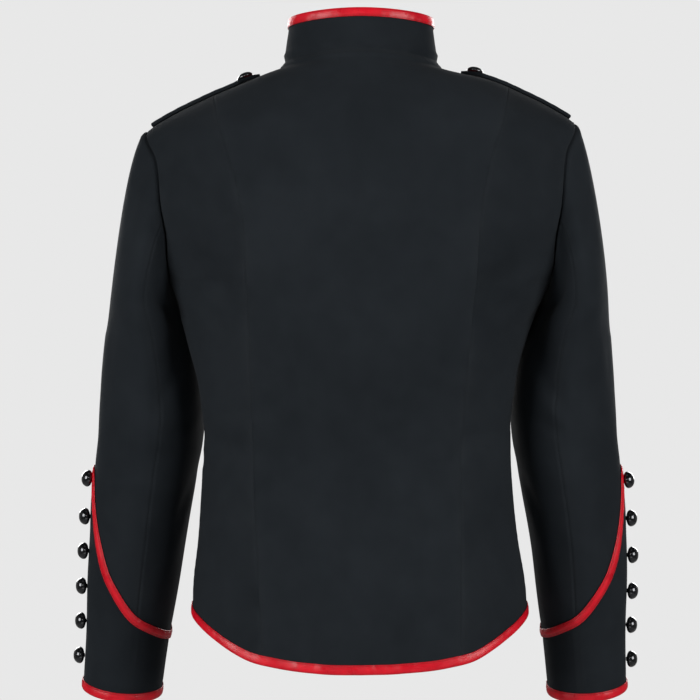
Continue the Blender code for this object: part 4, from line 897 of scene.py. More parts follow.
seam = {
    "kinds": (
        ("kind", "deep", "wide", "ridge", "ridgeAt", "ridgeWide", "pucker"),
        ("plain", 0.0004, 0.0012, 0.00030, 0.0032, 0.0015, 0.00022),
        ("armhole", 0.0008, 0.0016, 0.00025, 0.0040, 0.0018, 0.00030),
        ("sleeveHead", 0.0013, 0.0024, 0.00070, 0.0065, 0.0035, 0.00045),
        ("neck", 0.0011, 0.0028, 0.00110, 0.0066, 0.0022, 0.00045),
        ("underTrim", 0.0003, 0.0060, 0.0, 0.0030, 0.0020, 0.00018),
        ("free", 0.0006, 0.0011, 0.0, 0.0030, 0.0020, 0.0),
    ),
    # near and nearFree: how far from a seam the wool is painted paler, partly pressing wear, partly painted
    # sheen
    "puckerFades": 0.0085, "near": 0.005, "nearFree": 0.004,
}
seamKinds = {look["kind"]: look for look in rowsOf(seam["kinds"])}


def seamRelief(kind, distance, along, seed):
    look = seamKinds[kind]
    roll = look["deep"] * np.exp(-(distance / look["wide"]) ** 2)
    ridge = look["ridge"] * np.exp(-((distance - look["ridgeAt"]) / look["ridgeWide"]) ** 2)
    return ridge - roll + look["pucker"] * unevenWave(along, seed) * np.exp(-distance / seam["puckerFades"])


def drawnBack(grid, first=None, last=None, bottom=False, top=False):  # half a seam gap into the panel
    half = cloth["sewnGap"] / 2
    moved = grid.copy()
    if first is not None:
        moved[first, 0] += unit(grid[first, 1] - grid[first, 0]) * half
    if last is not None:
        moved[last, -1] += unit(grid[last, -2] - grid[last, -1]) * half
    if bottom:
        moved[0] += unit(grid[1] - grid[0]) * half
    if top:
        moved[-1] += unit(grid[-2] - grid[-1]) * half
    return moved


panels = {
    "step": 0.0046, "leastWide": 0.11, "hemRows": 28, "sideRows": 70, "armTurns": 46, "shoulderRows": 20,
    "neckRows": 34, "neckShares": (0.2, 0.4, 0.6, 0.75, 0.86, 0.94, 1.0), "sideAngle": 90.0,
    "seamGuess": 45.0, "seamGuesses": 4, "hair": 1e-9,
}


def bodyLevels():
    low, tip = body["lowLevel"], body["shoulderTip"]
    turns = np.linspace(180, 0, panels["armTurns"])
    arm = body["armholeMiddle"] + body["armholeHalfTall"] * np.cos(np.radians(turns))
    top = np.linspace(body["seamTop"], 0.0, panels["neckRows"])[1:]
    neck = body["neckLevel"] * np.array(panels["neckShares"])
    return np.concatenate([
        np.full(panels["hemRows"], np.nan),
        np.linspace(low, body["armholeLow"], panels["sideRows"])[:-1], arm,
        np.linspace(tip, body["seamTop"], panels["shoulderRows"])[1:], top, neck])


levels = bodyLevels()
rowCount = len(levels)
seamTopRow = int(np.argmin(np.abs(np.nan_to_num(levels, nan=-1) - body["seamTop"])))
besideArm = (levels >= body["armholeLow"] - panels["hair"]) & (levels <= body["shoulderTip"] + panels["hair"])
insideArm = (levels > body["armholeLow"] + panels["hair"]) & (levels < body["shoulderTip"] - panels["hair"])


def rowLevel(row, angle):
    if row >= panels["hemRows"]:
        return levels[row] + 0 * angle
    hem = hemLevel(angle)
    return hem + (body["lowLevel"] - hem) * row / panels["hemRows"]


def armTurns(front):  # how far round the armhole each row beside it lies
    share = np.clip((levels[insideArm] - body["armholeMiddle"]) / body["armholeHalfTall"], -1, 1)
    turns = np.degrees(np.arccos(share))
    return 360 - turns if front else turns


def sideAngles(front):
    angles = np.full(rowCount, panels["sideAngle"])
    angles[insideArm] = armholePlace(armTurns(front))[0]
    return angles


def backSeamAngles():
    angles = np.full(rowCount, panels["sideAngle"])
    for row in range(seamTopRow + 1):
        angle = panels["seamGuess"]
        for _ in range(panels["seamGuesses"]):  # near the hem a row's level depends on the angle
            level = rowLevel(row, np.array(angle))
            angle = float(sectionAngle(level, column(body["backSeam"], "out", level)))
        angles[row] = angle
    return angles


def lapped(points):  # how far the upper front stands off the one below it
    return body["lapRise"] * ease(-body["lapStarts"], -body["lapFull"], -points[..., 0])[..., None]


def panelRelief(kinds, across, along, seed, toNeck):  # the rolls and puckers, and where it is pressed, which the wool paints paler: partly pressing wear, partly painted sheen
    relief, near = 0.0, np.zeros(across.shape)
    for number, (kind, distance) in enumerate(zip(kinds, (across, across[:, -1:] - across))):
        if kind == "free":
            relief = relief + seamRelief("free", distance, along, seed)
            near = np.maximum(near, np.exp(-distance / seam["nearFree"]))
            continue
        rolled = seamRelief("plain", distance, along, seed + number)
        if kind == "arm":
            armhole = seamRelief("armhole", distance, along, seed + 7)
            rolled = np.where(besideArm[:len(across), None], armhole, rolled)
        relief = relief + rolled
        near = np.maximum(near, np.exp(-distance / seam["near"]))
    if toNeck:
        fromTop = along[-1:] - along
        relief = relief + seamRelief("neck", fromTop, across, seed + 3)
        near = np.maximum(near, np.exp(-fromTop / seam["near"]))
    fromTrim = np.maximum(along - cloth["bindingDeep"], 0)
    return relief + seamRelief("underTrim", fromTrim, across, seed + 5), near


def bodyPanel(name, first, last, look, kinds, seed, rows=rowCount, side="left", lap=False):
    first, last = first[:rows], last[:rows]
    wide = max(panels["leastWide"], float(np.radians(np.abs(last - first)).max()) * body["foldRadius"])
    angles = first[:, None] + (last - first)[:, None] * spaced(wide, panels["step"])
    heights = np.stack([rowLevel(row, angles[row]) for row in range(rows)])
    base, out = bodySurface(angles, heights), bodyOut(angles, heights)
    if lap:
        base = base + out * lapped(base)
    if rows == rowCount:
        out[-1] = mitre(out[-1], collarOut(angles[-1], 0 * angles[-1]))
    if "arm" in kinds:
        edge = -kinds.index("arm")  # the first column or the last
        joined = armholeEdge(armTurns(front=edge == 0), side)[0]
        out[np.flatnonzero(insideArm), edge] = mirrored(joined, side)
    relief, near = panelRelief(kinds, walked(base, 1), walked(base, 0), seed, rows == rowCount)
    whole = np.arange(rows)
    sewnRows = {"seam": whole, "arm": whole[~insideArm[:rows]], "free": None}
    pull = {"first": sewnRows[kinds[0]], "last": sewnRows[kinds[1]], "top": rows < rowCount}
    outer = drawnBack(base + out * relief[..., None], **pull)
    inner = drawnBack(base - out * cloth["thick"], **pull)
    return clothWall(name, outer, inner, look, near)


seamLine = backSeamAngles()
backEdge, frontEdge = sideAngles(False), sideAngles(True)

piece, size = bodyPanel("cloth_back_center", -seamLine, seamLine, "woolBack", ("seam", "seam"), 1.0)
declare("back_center")
for side, sign in sides.items():
    piece, size = bodyPanel(
        "cloth_back_side_" + side, sign * seamLine, sign * backEdge, "woolSide", ("seam", "arm"), 2.3 + sign,
        rows=seamTopRow + 1, side=side)
    declare("back_side_" + side)
print("back panels cut")

middleFront = np.array([float(rowLevel(row, np.array(180.0))) for row in range(rowCount)])
frontDepth = column(body["sections"], "front", middleFront)
lapEdge = 180 + np.degrees(np.arcsin(body["lap"] / frontDepth))
for side, sign in sides.items():
    piece, size = bodyPanel(
        "cloth_front_" + side, sign * frontEdge, sign * lapEdge, "woolFront", ("arm", "free"), 4.1 + sign,
        side=side, lap=sign > 0)
    declare("front_" + side)
print("fronts cut")


def makeCollar():
    angles = np.linspace(-collar["end"], collar["end"], collar["columns"])
    up = spaced(collar["tallest"], collar["step"], collar["edgeRows"])
    around, rise = angles + 0 * up[:, None], up[:, None] + 0 * angles
    base, out = collarForm(around, rise), collarOut(around, rise)
    out[0] = mitre(out[0], bodyOut(angles, body["neckLevel"] + 0 * angles))
    across, along = walked(base, 1), walked(base, 0)
    fromTop = along[-1:] - along
    relief = seamRelief("neck", along, across, 2.0)
    relief = relief + seamRelief("underTrim", np.maximum(fromTop - collar["trimDown"], 0), across, 6.0)
    waver = collar["waver"] * np.sin(across / collar["waverLong"] + collar["waverPhase"])
    relief = relief + waver * ease(0.0, collar["waverFades"], along) * ease(0, collar["waverFades"], fromTop)
    outer, inner = base + out * relief[..., None], base - out * cloth["thick"]
    for wall in (outer, inner):
        wall[0, :, 2] += cloth["sewnGap"]
    return clothWall("cloth_collar", outer, inner, "woolCollar", np.exp(-along / seam["near"]))


piece, size = makeCollar()
declare("collar")


sleeveGrid = {
    "capRows": 40, "tubeRows": 66, "step": 0.0044, "cuffRows": 54, "cuffColumns": 112,
    "radius": 0.057,  # what the width of a piece is reckoned from
    "headShares": (0, 0.006, 0.014, 0.024, 0.038), "headFrom": 0.055, "rowsDrawnUp": 0.97,
    "creasesFade": 0.14, "fullness": (-0.25, 0.6),
}


def makeSleevePiece(name, first, last, side, seed):
    wide = np.radians(last - first) * sleeveGrid["radius"]
    turns = first + (last - first) * spaced(wide, sleeveGrid["step"])
    down = np.linspace(sleeveGrid["headFrom"], 1, sleeveGrid["capRows"])[:-1]
    down = np.concatenate([sleeveGrid["headShares"], down])
    cap, share = turns + 0 * down[:, None], down[:, None] + 0 * turns
    base, out = capForm(cap, share, side), capFacing(cap, share, side)
    height = armholePlace(cap)[1] * (1 - share) + sleeve["bicep"] * share
    fading = ease(0.0, sleeveGrid["creasesFade"], share)[..., None]
    base = base + out * sleeveCreased(cap, height, side) * fading
    out[0] = armholeEdge(turns, side)[1]
    share = np.linspace(0, 1, sleeveGrid["tubeRows"])[:, None] ** sleeveGrid["rowsDrawnUp"]
    tube, height = turns + 0 * share, sleeve["bicep"] + (cuffLine(turns) - sleeve["bicep"]) * share
    base = np.concatenate([base, tubeSurface(tube, height, side)])
    out = np.concatenate([out, tubeOut(tube, height, side)])
    across, along = walked(base, 1), walked(base, 0)
    fromLast, fromTape = across[:, -1:] - across, np.maximum(along[-1:] - along - cloth["tapeHalf"], 0)
    relief = seamRelief("plain", across, along, seed) + seamRelief("plain", fromLast, along, seed + 1)
    # the ease is shrunk in over the top of the arm
    fullness = ease(*sleeveGrid["fullness"], np.cos(np.radians(turns)))
    relief = relief + seamRelief("armhole", along, across, seed + 2) * (1 - fullness)
    relief = relief + seamRelief("sleeveHead", along, across, seed + 3) * fullness
    relief = relief + seamRelief("underTrim", fromTape, across, seed + 4)
    near = np.exp(-np.minimum(np.minimum(across, fromLast), along) / seam["near"])
    rows = np.arange(len(base))
    outer = drawnBack(base + out * relief[..., None], rows, rows, top=True)
    inner = drawnBack(base - out * cloth["thick"], rows, rows, top=True)
    return clothWall(name, mirrored(outer, side), mirrored(inner, side), "woolSleeve", near)


def makeCuff(side, seed):
    turns = np.arange(sleeveGrid["cuffColumns"]) * 360.0 / sleeveGrid["cuffColumns"]
    line = cuffLine(turns)
    share = np.linspace(0, 1, sleeveGrid["cuffRows"])[:, None]
    heights = line + (sleeve["cuffHem"] - line) * share
    around = turns + 0 * heights
    base, out = tubeSurface(around, heights, side), tubeOut(around, heights, side)
    across, along = walked(base, 1), walked(base, 0)
    fromBinding = np.maximum(along[-1:] - along - cloth["bindingDeep"], 0)
    fromSeam = sleeve["foldRadius"] * np.radians(np.abs(around - sleeve["backSeam"]))
    relief = seamRelief("underTrim", np.maximum(along - cloth["tapeHalf"], 0), across, seed)
    relief = relief + seamRelief("underTrim", fromBinding, across, seed + 1)
    relief = relief + seamRelief("plain", fromSeam, along, seed + 2)
    outer = drawnBack(base + out * relief[..., None], bottom=True)
    inner = drawnBack(base - out * cloth["thick"], bottom=True)
    near = np.exp(-np.minimum(along, fromSeam) / seam["near"])
    name = "cloth_cuff_" + side
    return clothWall(name, mirrored(outer, side), mirrored(inner, side), "woolCuff", near, around=True)


for side, sign in sides.items():
    front, back = sleeve["frontSeam"], sleeve["backSeam"]
    piece, size = makeSleevePiece("cloth_sleeve_top_" + side, front - 360, back, side, 1.3 + sign)
    declare("sleeve_top_" + side)
    piece, size = makeSleevePiece("cloth_sleeve_under_" + side, back, front, side, 3.7 + sign)
    declare("sleeve_under_" + side)
    piece, size = makeCuff(side, 5.9 + sign)
    declare("cuff_" + side)
print("sleeves and cuffs set in")


binding = {
    # down: along the panel from the binding's upper edge; off: out of the panel's outer face
    "section": (
        ("down", "off"), (0.0000, 0.00035), (0.0000, 0.00080), (0.0004, 0.00115), (0.0012, 0.00085),
        (0.0022, 0.00120), (0.0042, 0.00160), (0.0066, 0.00155), (0.0086, 0.00135), (0.0097, 0.00085),
        (0.0103, 0.00000), (0.0105, -0.00100), (0.0103, -0.00200), (0.0097, -0.00280), (0.0086, -0.00330),
        (0.0066, -0.00350), (0.0042, -0.00350), (0.0022, -0.00315), (0.0012, -0.00285), (0.0004, -0.00310),
        (0.0000, -0.00275), (0.0000, -0.00235), (0.0048, -0.00235), (0.0092, -0.00232), (0.0095, -0.00100),
        (0.0092, 0.00032), (0.0048, 0.00035),
    ),
    "faceOff": 0.0006, "backOff": -0.0026,  # past these it is the satin's own face, and ripples
    "ripple": 0.00028, "dragWide": 0.0030, "drag": 0.35, "slant": 0.5, "sharp": 75,
    # where the stitch line runs and how wide its painted shade is, and how strong the painted shade at the
    # folded edge is
    "stitchAt": 0.0012, "stitchOff": 0.00098, "stitchShadeWide": 0.0009, "foldShade": 0.5,
}
tape = {
    "section": (
        ("across", "off"), (-0.0046, 0.00070), (-0.0046, 0.00135), (-0.0042, 0.00165), (-0.0033, 0.00140),
        (-0.0025, 0.00175), (-0.0010, 0.00215), (0.0006, 0.00220), (0.0024, 0.00178), (0.0033, 0.00140),
        (0.0042, 0.00165), (0.0046, 0.00135), (0.0046, 0.00070), (0.0016, 0.00070), (-0.0016, 0.00070),
    ),
    "faceOff": 0.001, "ripple": 0.00022, "dragWide": 0.0016, "drag": 0.4, "slant": 0.6, "columns": 300,
    # where the stitch lines run and how wide the painted shade along them is
    "stitchAt": 0.0033, "stitchOff": 0.00150, "stitchShadeWide": 0.0008,
}
stitch = {
    "step": 0.0031, "long": 0.0024, "radius": 0.00021, "sides": 6, "feel": 0.0004,
    "cutAlong": 0.00045, "cutAround": 0.00022,
    # each stitch swells out of the cloth and dives back into it; rise and girth are in radii
    "rings": (
        ("share", "rise", "girth"),
        (0.0, -0.9, 0.45),
        (0.16, 0.35, 0.95),
        (0.5, 0.75, 1.05),
        (0.84, 0.35, 0.95),
        (1.0, -0.9, 0.45),
    ),
}
drags = {"second": 0.6, "quicker": 1.7, "slanted": 0.6}


def rippled(shape, along, seed, size, slanted):  # bias-cut satin drags in short slanting puckers
    second = unevenWave(drags["quicker"] * along - drags["slanted"] * slanted, seed + 2)
    wave = unevenWave(along + slanted, seed) + drags["second"] * second
    return size * wave * shape


def bell(distance, wide):
    return np.exp(-(distance / wide) ** 2)


def ribbonMesh(name, loops, around, look, dark):
    stations, points = loops.shape[:2]
    wrapped = np.concatenate([loops, loops[:1]]) if around else loops
    grid = np.swapaxes(np.concatenate([wrapped, wrapped[:, :1]], axis=1), 0, 1)
    lengths, heights = walked(grid, 1), walked(grid, 0)
    wide, tall = np.repeat(lengths[:1], points + 1, axis=0), np.repeat(heights[:, :1], grid.shape[1], axis=1)
    cutGrid = np.stack([wide, tall], axis=-1)
    quads, corners = strips(stations, points, True, looped=around)
    cut = np.stack([cutGrid[b, a] for a, b in corners], 1)
    caps = [] if around else endCaps(stations, points)
    # the painted shade along stitches and folds goes into the nearSeam attribute
    near = np.repeat(np.asarray(dark, float)[None], stations, axis=0)
    piece = addMesh(name, loops.reshape(-1, 3), quads, cut, look, near, caps, sharp=binding["sharp"])
    length, flat = float(np.median(lengths[:, -1])), float(np.median(heights[-1])) / 2
    return piece, (length, flat, length * flat)


def stitches(name, line, out, around=False):
    if around:
        line, out = np.concatenate([line, line[:1]]), np.concatenate([out, out[:1]])
    length = walked(line[None], 1)[0]
    starts = np.arange(stitch["step"] / 2, length[-1] - stitch["long"], stitch["step"])
    share, rise, girth = np.array(stitch["rings"][1:]).T
    rings, sides, count = len(share), stitch["sides"], len(starts)
    at = (starts[:, None] + stitch["long"] * share).ravel()
    here = np.stack([np.interp(at, length, line[:, k]) for k in range(3)], 1)
    ahead = np.stack([np.interp(at + stitch["feel"], length, line[:, k]) for k in range(3)], 1)
    up = unit(np.stack([np.interp(at, length, out[:, k]) for k in range(3)], 1))
    over = unit(np.cross(up, unit(ahead - here)))
    rise = np.tile(rise, count)[:, None] * stitch["radius"]
    girth = np.tile(girth, count)[:, None] * stitch["radius"]
    turns = np.radians(np.arange(sides) * 360.0 / sides)[:, None]
    ring = over[:, None] * np.cos(turns) + up[:, None] * np.sin(turns)
    points = (here + up * rise)[:, None] + girth[:, None] * ring
    quads, corners = strips(rings, sides, True)
    firsts = np.arange(count) * rings * sides
    quads = firsts[:, None, None] + quads
    cut = np.stack([np.stack([stitch["cutAlong"] * a, stitch["cutAround"] * b], 1) for a, b in corners], 1)
    caps = [first + cap for first in firsts for cap in endCaps(rings, sides)]
    points, cut = points.reshape(-1, 3), np.tile(cut, (count, 1, 1))
    return addMesh(name, points, quads, cut, "redThread", None, caps)


def bindingLoops(edge, edgeOut, up, upOut, along, seed):
    way = unit(edge - up)
    loops = []
    for down, off in binding["section"][1:]:
        share = min(down / cloth["bindingDeep"], 1.0)
        over = max(0.0, down - cloth["bindingDeep"])
        onFace = (off > binding["faceOff"]) - (off < binding["backOff"])
        shape = onFace * bell(down - binding["stitchAt"], binding["dragWide"]) + binding["drag"] * onFace
        lift = off + rippled(shape, along, seed + (off < 0), binding["ripple"], binding["slant"] * down)
        base = up * (1 - share) + edge * share + way * over
        out = unit(upOut * (1 - share) + edgeOut * share)
        loops.append(base + out * lift[:, None])
    return np.stack(loops, axis=1)


def bindingPaintedShade():  # painted shade along the stitches and at the folded-in edge
    dark = [bell(down - binding["stitchAt"], binding["stitchShadeWide"]) + binding["foldShade"] * (down == 0)
            for down, off in binding["section"][1:]]
    return np.minimum(dark, 1)


def addBinding(name, replaced, edge, up, around, seed, restsOn, side=None):
    (edge, edgeOut), (up, upOut) = edge, up  # the points of a line, and the way out at each
    loops = bindingLoops(edge, edgeOut, up, upOut, walked(edge[None], 1)[0], seed)
    share = binding["stitchAt"] / cloth["bindingDeep"]
    line = up * (1 - share) + edge * share
    out = unit(upOut * (1 - share) + edgeOut * share)
    if side:
        loops, line, out = mirrored(loops, side), mirrored(line, side), mirrored(out, side)
    piece, size = ribbonMesh("satin_" + name, loops, around, "satinBinding", bindingPaintedShade())
    sewn = stitches("stitches_" + name, line + out * binding["stitchOff"], out, around)
    declare(replaced)


def hemBinding(part, angles, seed, restsOn, seamEnds, lap=False):
    lines = []
    for level in (hemLevel(angles), hemLevel(angles) + cloth["bindingDeep"]):
        line, out = bodySurface(angles, level), bodyOut(angles, level)
        if lap:
            line = line + out * lapped(line)
        for end, beside in seamEnds:
            line[end] += unit(line[beside] - line[end]) * cloth["seamGap"] / 2
        lines.append((line, out))
    addBinding("hem_" + part, "hem_binding_" + part, *lines, False, seed, restsOn)


lapEnd = float(lapEdge[0])
underLap = body["lap"] + 0.0010  # the right front's binding ends a little sooner
underEnd = 180 - float(np.degrees(np.arcsin(underLap / frontDepth[0])))
backs = ["back_center", "back_side_left", "back_side_right"]
hemBinding("back", np.linspace(-90, 90, 190), 1.0, backs, ((0, 1), (-1, -2)))
hemBinding("front_left", np.linspace(90, lapEnd, 110), 2.0, ["front_left"], ((0, 1),), lap=True)
hemBinding("front_right", np.linspace(-90, -underEnd, 92), 3.0, ["front_right"], ((0, 1),))

angles = np.linspace(-collar["end"], collar["end"], collar["trimColumns"])
top, below = 1.0 + 0 * angles, collar["binding"] + 0 * angles
edge = collarForm(angles, top), unit(collarOut(angles, top))
addBinding("collar", "collar_binding", edge, (collarForm(angles, below), collarOut(angles, below)),
           False, 4.0, ["collar"])

turns = np.arange(0, 360, 3.0)
for side, sign in sides.items():
    lines = [(tubeSurface(turns, at + 0 * turns, side), tubeOut(turns, at + 0 * turns, side))
             for at in (sleeve["cuffHem"], sleeve["cuffHem"] + cloth["bindingDeep"])]
    addBinding("cuff_" + side, "cuff_binding_" + side, *lines, True, 5.0 + sign, ["cuff_" + side], side)
print("hem, collar and cuffs bound")


def besideCuffSeam(turns, offset, side):
    level = cuffLine(turns)
    arc = np.linalg.norm(tubeForm(turns + 1, level, side) - tubeForm(turns - 1, level, side), axis=-1)
    rise = cuffLine(turns + 1) - cuffLine(turns - 1)
    run = np.hypot(arc, rise)
    turned, raised = turns - offset * rise / run * (2 / arc), level + offset * arc / run
    return tubeSurface(turned, raised, side), tubeOut(turned, raised, side)


def addTape(side, seed):
    turns = np.arange(tape["columns"]) * 360.0 / tape["columns"]
    middle, _ = besideCuffSeam(turns, 0.0, side)
    along = walked(middle[None], 1)[0]
    loops, dark = [], []
    for across, off in tape["section"][1:]:
        points, out = besideCuffSeam(turns, across, side)
        onFace, fromStitch = off > tape["faceOff"], abs(across) - tape["stitchAt"]
        shape = (tape["drag"] + bell(fromStitch, tape["dragWide"])) * onFace
        lift = off + rippled(shape, along, seed, tape["ripple"], tape["slant"] * across)
        loops.append(points + out * lift[:, None])
        # painted shade along the stitch lines
        dark.append(bell(fromStitch, tape["stitchShadeWide"]) * onFace)
    loops = mirrored(np.stack(loops, axis=1), side)
    piece, size = ribbonMesh("satin_cuff_tape_" + side, loops, True, "satinTape", dark)
    for number, across in enumerate((-tape["stitchAt"], tape["stitchAt"])):
        points, out = besideCuffSeam(turns, across, side)
        line = mirrored(points + out * tape["stitchOff"], side)
        stitches(f"stitches_cuff_tape_{side}_{number + 1}", line, mirrored(out, side), True)
    declare("cuff_tape_" + side)


for side, sign in sides.items():
    addTape(side, 7.0 + sign)
print("cuff seams taped")


strap = {
    "outer": 0.2265, "tip": 0.1090, "halfWide": 0.023, "pointLong": 0.022, "thick": 0.0030, "lift": 0.0008,
    "tipLift": 0.0025, "liftsOver": 0.040, "buttonAt": 0.1235, "crown": 0.0006, "forward": 0.014,
    "lowest": -0.100, "halvings": 36, "outlineStep": 9,
    # the cut end: where its first rows run, how far it is rounded and how thin it gets
    "endRows": (0.0, 0.0004, 0.0010, 0.0020), "rowsFrom": 0.0045, "rows": 26, "tipRows": 12,
    "rounding": 0.0010, "endThin": 0.35, "tipWide": 0.03,
    # tall: in thicknesses; the edge is rolled over that of the trim
    "rim": (
        ("across", "tall"),
        (1.0, 0.35),
        (1.0, 0.95),
        (0.994, 1.28),
        (0.985, 1.38),
        (0.975, 1.30),
        (0.966, 1.04),
    ),
    "flatTo": 0.94, "topColumns": 19, "underColumns": 9, "underEdge": (0.985, 0.08), "crowned": 0.3,
    "waver": 0.00012, "waverLong": 0.0021, "waverPhase": 9, "waverOver": 0.5, "pressedSheenWide": 0.12,
    # which line and which row the cut is measured on; the pointed end takes a tenth off the rectangle
    "cutLine": 12, "cutRow": 10, "cutShare": 0.9,
}
strapEdge = {
    # inward: from the trim's outer edge; off: above its seat on the strap
    "section": (
        ("inward", "off"), (0.0, 0.0), (0.0, 0.0002), (0.0004, 0.0004), (0.0011, 0.0003), (0.0018, 0.0006),
        (0.0029, 0.0009),
        (0.0038, 0.0007),
        (0.0045, 0.0004),
        (0.0052, 0.0007),
        (0.0055, 0.0005),
        (0.0055, 0.0),
        (0.0027, 0.0),
    ),
    "wide": 0.0055, "inset": 0.0008, "lift": 0.0002, "ripple": 0.00012, "slant": 0.5,
    # where the stitch lines run and how wide the painted shade along them is
    "stitchAt": (0.0011, 0.0045), "stitchOff": 0.00045, "stitchShadeWide": 0.0005, "feel": 0.0010,
}


def shoulderPlace(out, back):  # the body's angle and level below a place seen from above
    low, high = np.full(np.shape(out), strap["lowest"]), np.full(np.shape(out), body["neckLevel"])
    for _ in range(strap["halvings"]):
        level = (low + high) / 2
        side, behind, before, square = columns(body["sections"], "side back front square", level)
        depth = np.where(back > 0, behind, before)
        beyond = (out / side) ** square + (np.abs(back) / depth) ** square > 1
        high, low = np.where(beyond, level, high), np.where(beyond, low, level)
    return np.degrees(np.arctan2(out, back)), (low + high) / 2


def strapPoints(out, back, side, height):
    angle, level = shoulderPlace(out, back - strap["forward"])
    tip = strap["tipLift"] * ease(-(strap["tip"] + strap["liftsOver"]), -strap["tip"], -out)
    rise = (height + strap["lift"] + tip)[..., None]
    return bodySurface(sides[side] * angle, level) + bodyOut(sides[side] * angle, level) * rise


def strapOutline(inset):  # from above: along one side, round the tip, back along the other, across the end
    step = strap["outlineStep"]
    half = strap["halfWide"] - inset
    outer = strap["outer"] - inset
    tip = strap["tip"] + inset * np.hypot(strap["pointLong"], strap["halfWide"]) / strap["halfWide"]
    bend = tip + half * strap["pointLong"] / strap["halfWide"]
    corners = [(outer, half, 3 * step), (bend, half, step), (tip, 0.0, step), (bend, -half, 3 * step),
               (outer, -half, step)]
    points = []
    for number, (x, y, count) in enumerate(corners):
        nextX, nextY, _ = corners[(number + 1) % len(corners)]
        share = np.arange(count)[:, None] / count
        points.append(np.array([[x, y]]) * (1 - share) + np.array([[nextX, nextY]]) * share)
    return np.concatenate(points)


def strapSection():
    rim = list(strap["rim"][1:])
    edgeAcross, edgeTall = strap["underEdge"]
    over = np.linspace(-strap["flatTo"], strap["flatTo"], strap["topColumns"])
    under = np.linspace(strap["flatTo"], -strap["flatTo"], strap["underColumns"])
    return np.array(
        [(-across, tall) for across, tall in rim] + [(across, 1.0) for across in over] + rim[::-1]
        + [(edgeAcross, edgeTall)] + [(across, 0.0) for across in under] + [(-edgeAcross, edgeTall)])


def strapCloth(side):
    bend = strap["tip"] + strap["pointLong"]
    stations = np.concatenate([
        strap["outer"] - np.array(strap["endRows"]),
        np.linspace(strap["outer"] - strap["rowsFrom"], bend, strap["rows"]),
        np.linspace(bend, strap["tip"], strap["tipRows"])[1:]])
    half = strap["halfWide"] * np.clip((stations - strap["tip"]) / strap["pointLong"], strap["tipWide"], 1.0)
    thin = np.clip((strap["outer"] - stations) / strap["rounding"], 0, 1) ** 0.5
    thin = strap["endThin"] + (1 - strap["endThin"]) * thin
    section = strapSection()
    loops = []
    for across, tall in section:
        height = strap["thick"] * (0.5 + (tall - 0.5) * thin)
        if tall > strap["crowned"]:
            height = height + strap["crown"] * (1 - across ** 2)
        waver = np.sin(stations / strap["waverLong"] + strap["waverPhase"] * across)
        height = height + strap["waver"] * waver * (tall > strap["waverOver"])
        loops.append(strapPoints(stations, half * across, side, height))
    loops = np.stack(loops, axis=1)
    rows, points = loops.shape[:2]
    length = walked(np.swapaxes(loops, 0, 1), 1)[strap["cutLine"]]
    girth = walked(np.concatenate([loops, loops[:, :1]], axis=1), 1)[strap["cutRow"]]
    quads, corners = strips(rows, points, True)
    cut = np.stack([np.stack([girth[b], length[a]], 1) for a, b in corners], 1)
    # the strap's edges get the paler pressed tone: partly rubbing wear, partly painted sheen
    near = np.repeat(np.exp(-(1 - np.abs(section[:, 0])) / strap["pressedSheenWide"])[None], rows, axis=0)
    name = "cloth_epaulette_" + side
    piece = addMesh(name, loops.reshape(-1, 3), quads, cut, "woolCollar", near, endCaps(rows, points))
    wide, long = 2 * strap["halfWide"], float(length[-1])
    return piece, (wide, long, wide * long * strap["cutShare"])


def strapRow(inset, side, off):  # a line round the strap, off above the trim's seat
    flat = strapOutline(inset)
    seat = strap["thick"] + strapEdge["lift"] + strap["crown"] * (1 - (flat[:, 1] / strap["halfWide"]) ** 2)
    return strapPoints(flat[:, 0], flat[:, 1], side, seat + off)


def strapTrim(side, seed):
    middle = strapOutline(strapEdge["inset"] + strapEdge["wide"] / 2)
    seat = np.full(len(middle), strap["thick"] + strapEdge["lift"])
    along = walked(strapPoints(middle[:, 0], middle[:, 1], side, seat)[None], 1)[0]
    rows, dark = [], []
    for inward, off in strapEdge["section"][1:]:
        ripple = rippled(off > 0, along, seed, strapEdge["ripple"], strapEdge["slant"] * inward)
        rows.append(strapRow(strapEdge["inset"] + inward, side, off + ripple))
        fromStitch = min(abs(inward - at) for at in strapEdge["stitchAt"])
        # painted shade along the stitch lines
        dark.append(bell(fromStitch, strapEdge["stitchShadeWide"]) * (off > 0))
    piece, size = ribbonMesh("satin_epaulette_trim_" + side, np.stack(rows, axis=1), True, "satinTape", dark)
    for number, at in enumerate(strapEdge["stitchAt"]):
        line = strapRow(strapEdge["inset"] + at, side, strapEdge["stitchOff"])
        above = strapRow(strapEdge["inset"] + at, side, strapEdge["stitchOff"] + strapEdge["feel"])
        stitches(f"stitches_epaulette_{side}_{number + 1}", line, unit(above - line), True)
    declare("epaulette_trim_" + side)


for side, sign in sides.items():
    piece, size = strapCloth(side)
    declare("epaulette_" + side)
    strapTrim(side, 9.0 + sign)
print("shoulder straps laid")


button = {
    "radius": 0.00925, "tall": 0.0122, "lift": 0.0006, "segments": 48, "sharp": 50,
    "outline": (
        ("out", "up"), (0.26, 0.00), (0.27, 0.08), (0.40, 0.105), (0.60, 0.125), (0.78, 0.18), (0.90, 0.25),
        (0.97, 0.33),
        (1.00, 0.41),
        (0.995, 0.47),
        (0.975, 0.54),
        (0.935, 0.62),
        (0.875, 0.70),
        (0.795, 0.78),
        (0.69, 0.85), (0.565, 0.91), (0.42, 0.955), (0.26, 0.985), (0.07, 1.0),
    ),
    "cuffFirst": {"left": -0.4560, "right": -0.4585}, "cuffStep": 0.0391, "cuffTurn": 4.0, "cuffTilt": 16.0,
    "cuffLifts": (0.0007, 0.0002, 0.0003, 0.0004, 0.0006, 0.0007),
    "frontFirst": -0.034, "frontStep": 0.081, "frontCount": 7,
    "strapTall": 0.0085, "feel": 0.01,  # its shank goes through the strap
    "spin": {"cuff": 0.13, "side": 0.4, "strap": 0.21, "front": 0.17},  # how far round each one is turned
}


